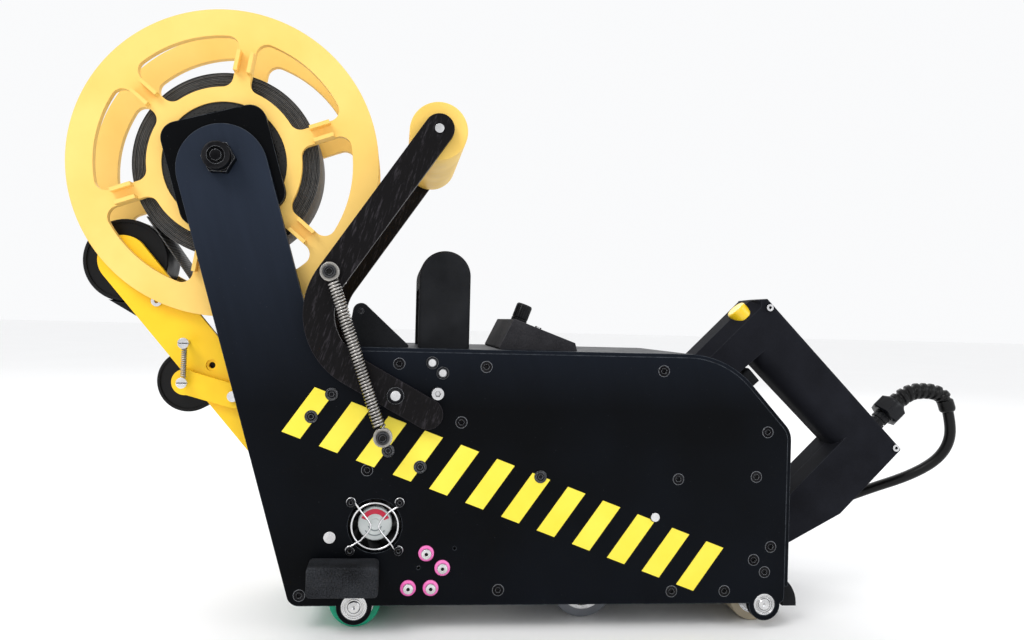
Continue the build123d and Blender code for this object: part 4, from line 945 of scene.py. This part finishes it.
BLADES = 7
BLADE_SECTION = [(-53.0, -0.20), (-51.4, -0.04), (-49.7, 0.12), (-48.0, 0.26)]
blade_vertices, blade_faces = [], []
for blade in range(BLADES):
    first = len(blade_vertices)
    for row in range(6):
        radius = 11.3 + 5.5 * row / 5
        sweep = 0.05 * row
        for depth, lead_angle in BLADE_SECTION:
            for thickness in (-0.035, 0.035):
                angle = 2 * math.pi * blade / BLADES + sweep + lead_angle + thickness
                blade_vertices.append(on_fan(radius * math.cos(angle), radius * math.sin(angle), depth))
    for row in range(5):
        for column in range(3):
            for skin in (0, 1):
                a = first + row * 8 + column * 2 + skin
                quad = (a, a + 2, a + 10, a + 8)
                blade_faces.append(quad if skin else tuple(reversed(quad)))
        for column in (0, 3):
            a = first + row * 8 + column * 2
            quad = (a, a + 1, a + 9, a + 8)
            blade_faces.append(quad if column == 0 else tuple(reversed(quad)))
    for row in (0, 5):
        for column in range(3):
            a = first + row * 8 + column * 2
            quad = (a, a + 2, a + 3, a + 1)
            blade_faces.append(quad if row == 0 else tuple(reversed(quad)))
blades = new_piece("fan_blades", blade_vertices, blade_faces, FAN_BLACK, 60.0)
settle(blades, "fan", "fan_black", "fan_rotor")

# ---- fasteners whose rings and sockets show ----


def screw(name, centre, face, head, socket, height, material, body, slot, *replaced):
    """Socket-head screw seen end on: rounded rim, hex socket with a black disc at its bottom as painted shade; face
    is where its head starts.
    """
    top, under = -height + 1.1, -height + 1.4
    # Black disc in the socket's bottom: painted shade.
    disc = [(0.01, top), (socket, top), (socket, under), (0.01, under)]
    socket_shade = turned(name + "_socket", disc, along_y(centre, face), FAN_BLACK, 24, closed=False)
    settle(socket_shade, body, "fan_black")
    rim = [(0.01, -height + 1.6), (socket, -height + 1.5), (socket + 0.1, -height), (head - 0.7, -height)]
    rim += [(head - 0.2, -height + 0.25), (head, -height + 0.8), (head, 0.0), (0.01, 0.0)]

    def shape(radius, level, angle):
        return hexagon(socket * 0.9)(radius, level, angle) if radius < socket + 0.05 else radius

    head_piece = turned(name, rim, along_y(centre, face), material, 96, shape, closed=False)
    return settle(head_piece, body, slot, *replaced)


def washer(name, centre, start, thick, inner, outer, material, body, slot, *replaced):
    """Flat ring with rounded rims, its near face at start and running inwards."""
    ring = [(inner, 0.2), (inner + 0.2, 0.0), (outer - 0.3, 0.0), (outer, 0.3)]
    ring += [(outer, thick), (inner, thick)]
    return settle(turned(name, ring, along_y(centre, start), material, 72), body, slot, *replaced)


CUP_WASHERS = [(-60.0, 53.5), (-49.0, 43.8), (-71.5, 30.4), (-56.5, 30.4)]
for k, centre in enumerate(CUP_WASHERS):
    screw(f"cup_screw_{k}", centre, -62.0, 3.5, 1.1, 1.8, STEEL, "chassis", "steel", "cup_washer_screws")
WASHER_THICK = 1.2
HEAD_ROOT = SPRING_Y - 3.2
SHOULDER_BOLTS = [
    ("arm", SPRING_TOP, "dancer", "spring_bolt_arm", -64.0),
    ("plate", SPRING_FOOT, "chassis", "spring_bolt_plate", -55.0),
]
for label, centre, body, node, root in SHOULDER_BOLTS:
    screw(f"shoulder_bolt_{label}", centre, HEAD_ROOT, 4.3, 1.9, 2.3, SCREW, body, "dark_steel", node)
    shaft = [(0.01, HEAD_ROOT), (1.9, HEAD_ROOT), (1.9, root), (0.01, root)]
    shaft = turned(f"shoulder_{label}", shaft, along_y(centre), STEEL, 48, closed=False)
    settle(shaft, body, "dark_steel", node)
    for side, start in (("near", HEAD_ROOT), ("far", SPRING_Y + 1.8)):
        name = f"spring_washer_{label}_{side}"
        washer(name, centre, start, WASHER_THICK, 2.55, 6.2, DARK_STEEL, body, "dark_steel", node)
DECAL_SCREWS = [(-138.0, 143.5), (-125.0, 158.5), (-87.0, 121.5), (-65.5, 111.0), (16.0, 105.0)]
shallow = [
    (0.01, -0.4), (1.5, -0.4), (1.6, -0.75), (2.9, -0.75), (3.1, -0.45), (3.3, -0.45), (3.5, -0.75), (4.1, -0.75),
    (4.3, -0.5), (4.3, 0.3), (0.01, 0.3),
]  # fmt: skip
for k, centre in enumerate(DECAL_SCREWS):
    head = turned(f"decal_screw_{k}", shallow, along_y(centre, -60.0), SCREW, 72, closed=False)
    settle(head, "chassis", "screw_black")
washer("pivot_circlip", DANCER_PIVOT, -69.97, 0.9, 3.25, 5.75, SCREW, "dancer", "screw_black")
for k, centre in enumerate(SHAFT_ENDS):
    washer(f"shaft_end_rim_{k}", centre, -60.5, 0.5, 2.6, 4.3, SCREW, "chassis", "screw_black")
bracket_pin = [(0.01, -48.3), (1.2, -48.3), (1.95, -48.0), (1.95, -44.0), (0.01, -44.0)]
bracket_pin = turned("bracket_pin", bracket_pin, along_y(BRACKET_EYE), SCREW, 40, closed=False)
settle(bracket_pin, "chassis", "screw_black")
# A black disc behind the fan, put there as painted shade for the shadowed inside of the housing.
shade_disc = [(1.8, -44.9), (22.6, -44.9), (22.8, -44.7), (22.8, -43.4), (1.8, -43.4)]
settle(turned("fan_shade_disc", shade_disc, along_y(FAN), FAN_BLACK, 72), "chassis", "fan_black")

# ---- floor and light ----
FLOOR = Finish("studio_floor", 0.8, specular=0.1)
FLOOR.colour(FLOOR.blend(FLOOR.noise(3, 3), (0.93, 0.93, 0.93), (0.96, 0.96, 0.96)))
REACH = 15
corners = [(-REACH, -REACH, 0), (REACH, -REACH, 0), (REACH, REACH, 0), (-REACH, REACH, 0)]
floor = new_piece("floor", corners, [(0, 1, 2, 3)], FLOOR.material)

world = bpy.data.worlds.new("studio")
world.use_nodes = True
world.node_tree.nodes["Background"].inputs["Color"].default_value = (0.985, 0.99, 1.0, 1.0)
world.node_tree.nodes["Background"].inputs["Strength"].default_value = 0.97
bpy.context.scene.world = world
bpy.context.scene.view_settings.view_transform = "Standard"


def softbox(name, place, aim, size, power, tint=(1.0, 1.0, 1.0)):
    light = bpy.data.lights.new(name, "AREA")
    light.shape = "RECTANGLE"
    light.size, light.size_y = size
    light.energy = power
    light.color = tint
    lamp = bpy.data.objects.new(name, light)
    bpy.context.scene.collection.objects.link(lamp)
    direction = Vector(aim) - Vector(place)
    lamp.matrix_world = Matrix.Translation(place) @ direction.to_track_quat("-Z", "Y").to_matrix().to_4x4()


softbox("key", (-1.1, -1.2, 1.6), (-0.1, 0, 0.2), (0.9, 0.7), 16.0, (1.0, 0.99, 0.97))
softbox("fill", (1.5, -1.0, 0.9), (0, 0, 0.15), (0.8, 0.8), 5.0, (0.92, 0.96, 1.0))
softbox("back", (0.3, 1.5, 1.3), (0, 0, 0.2), (1.6, 0.8), 9.0)
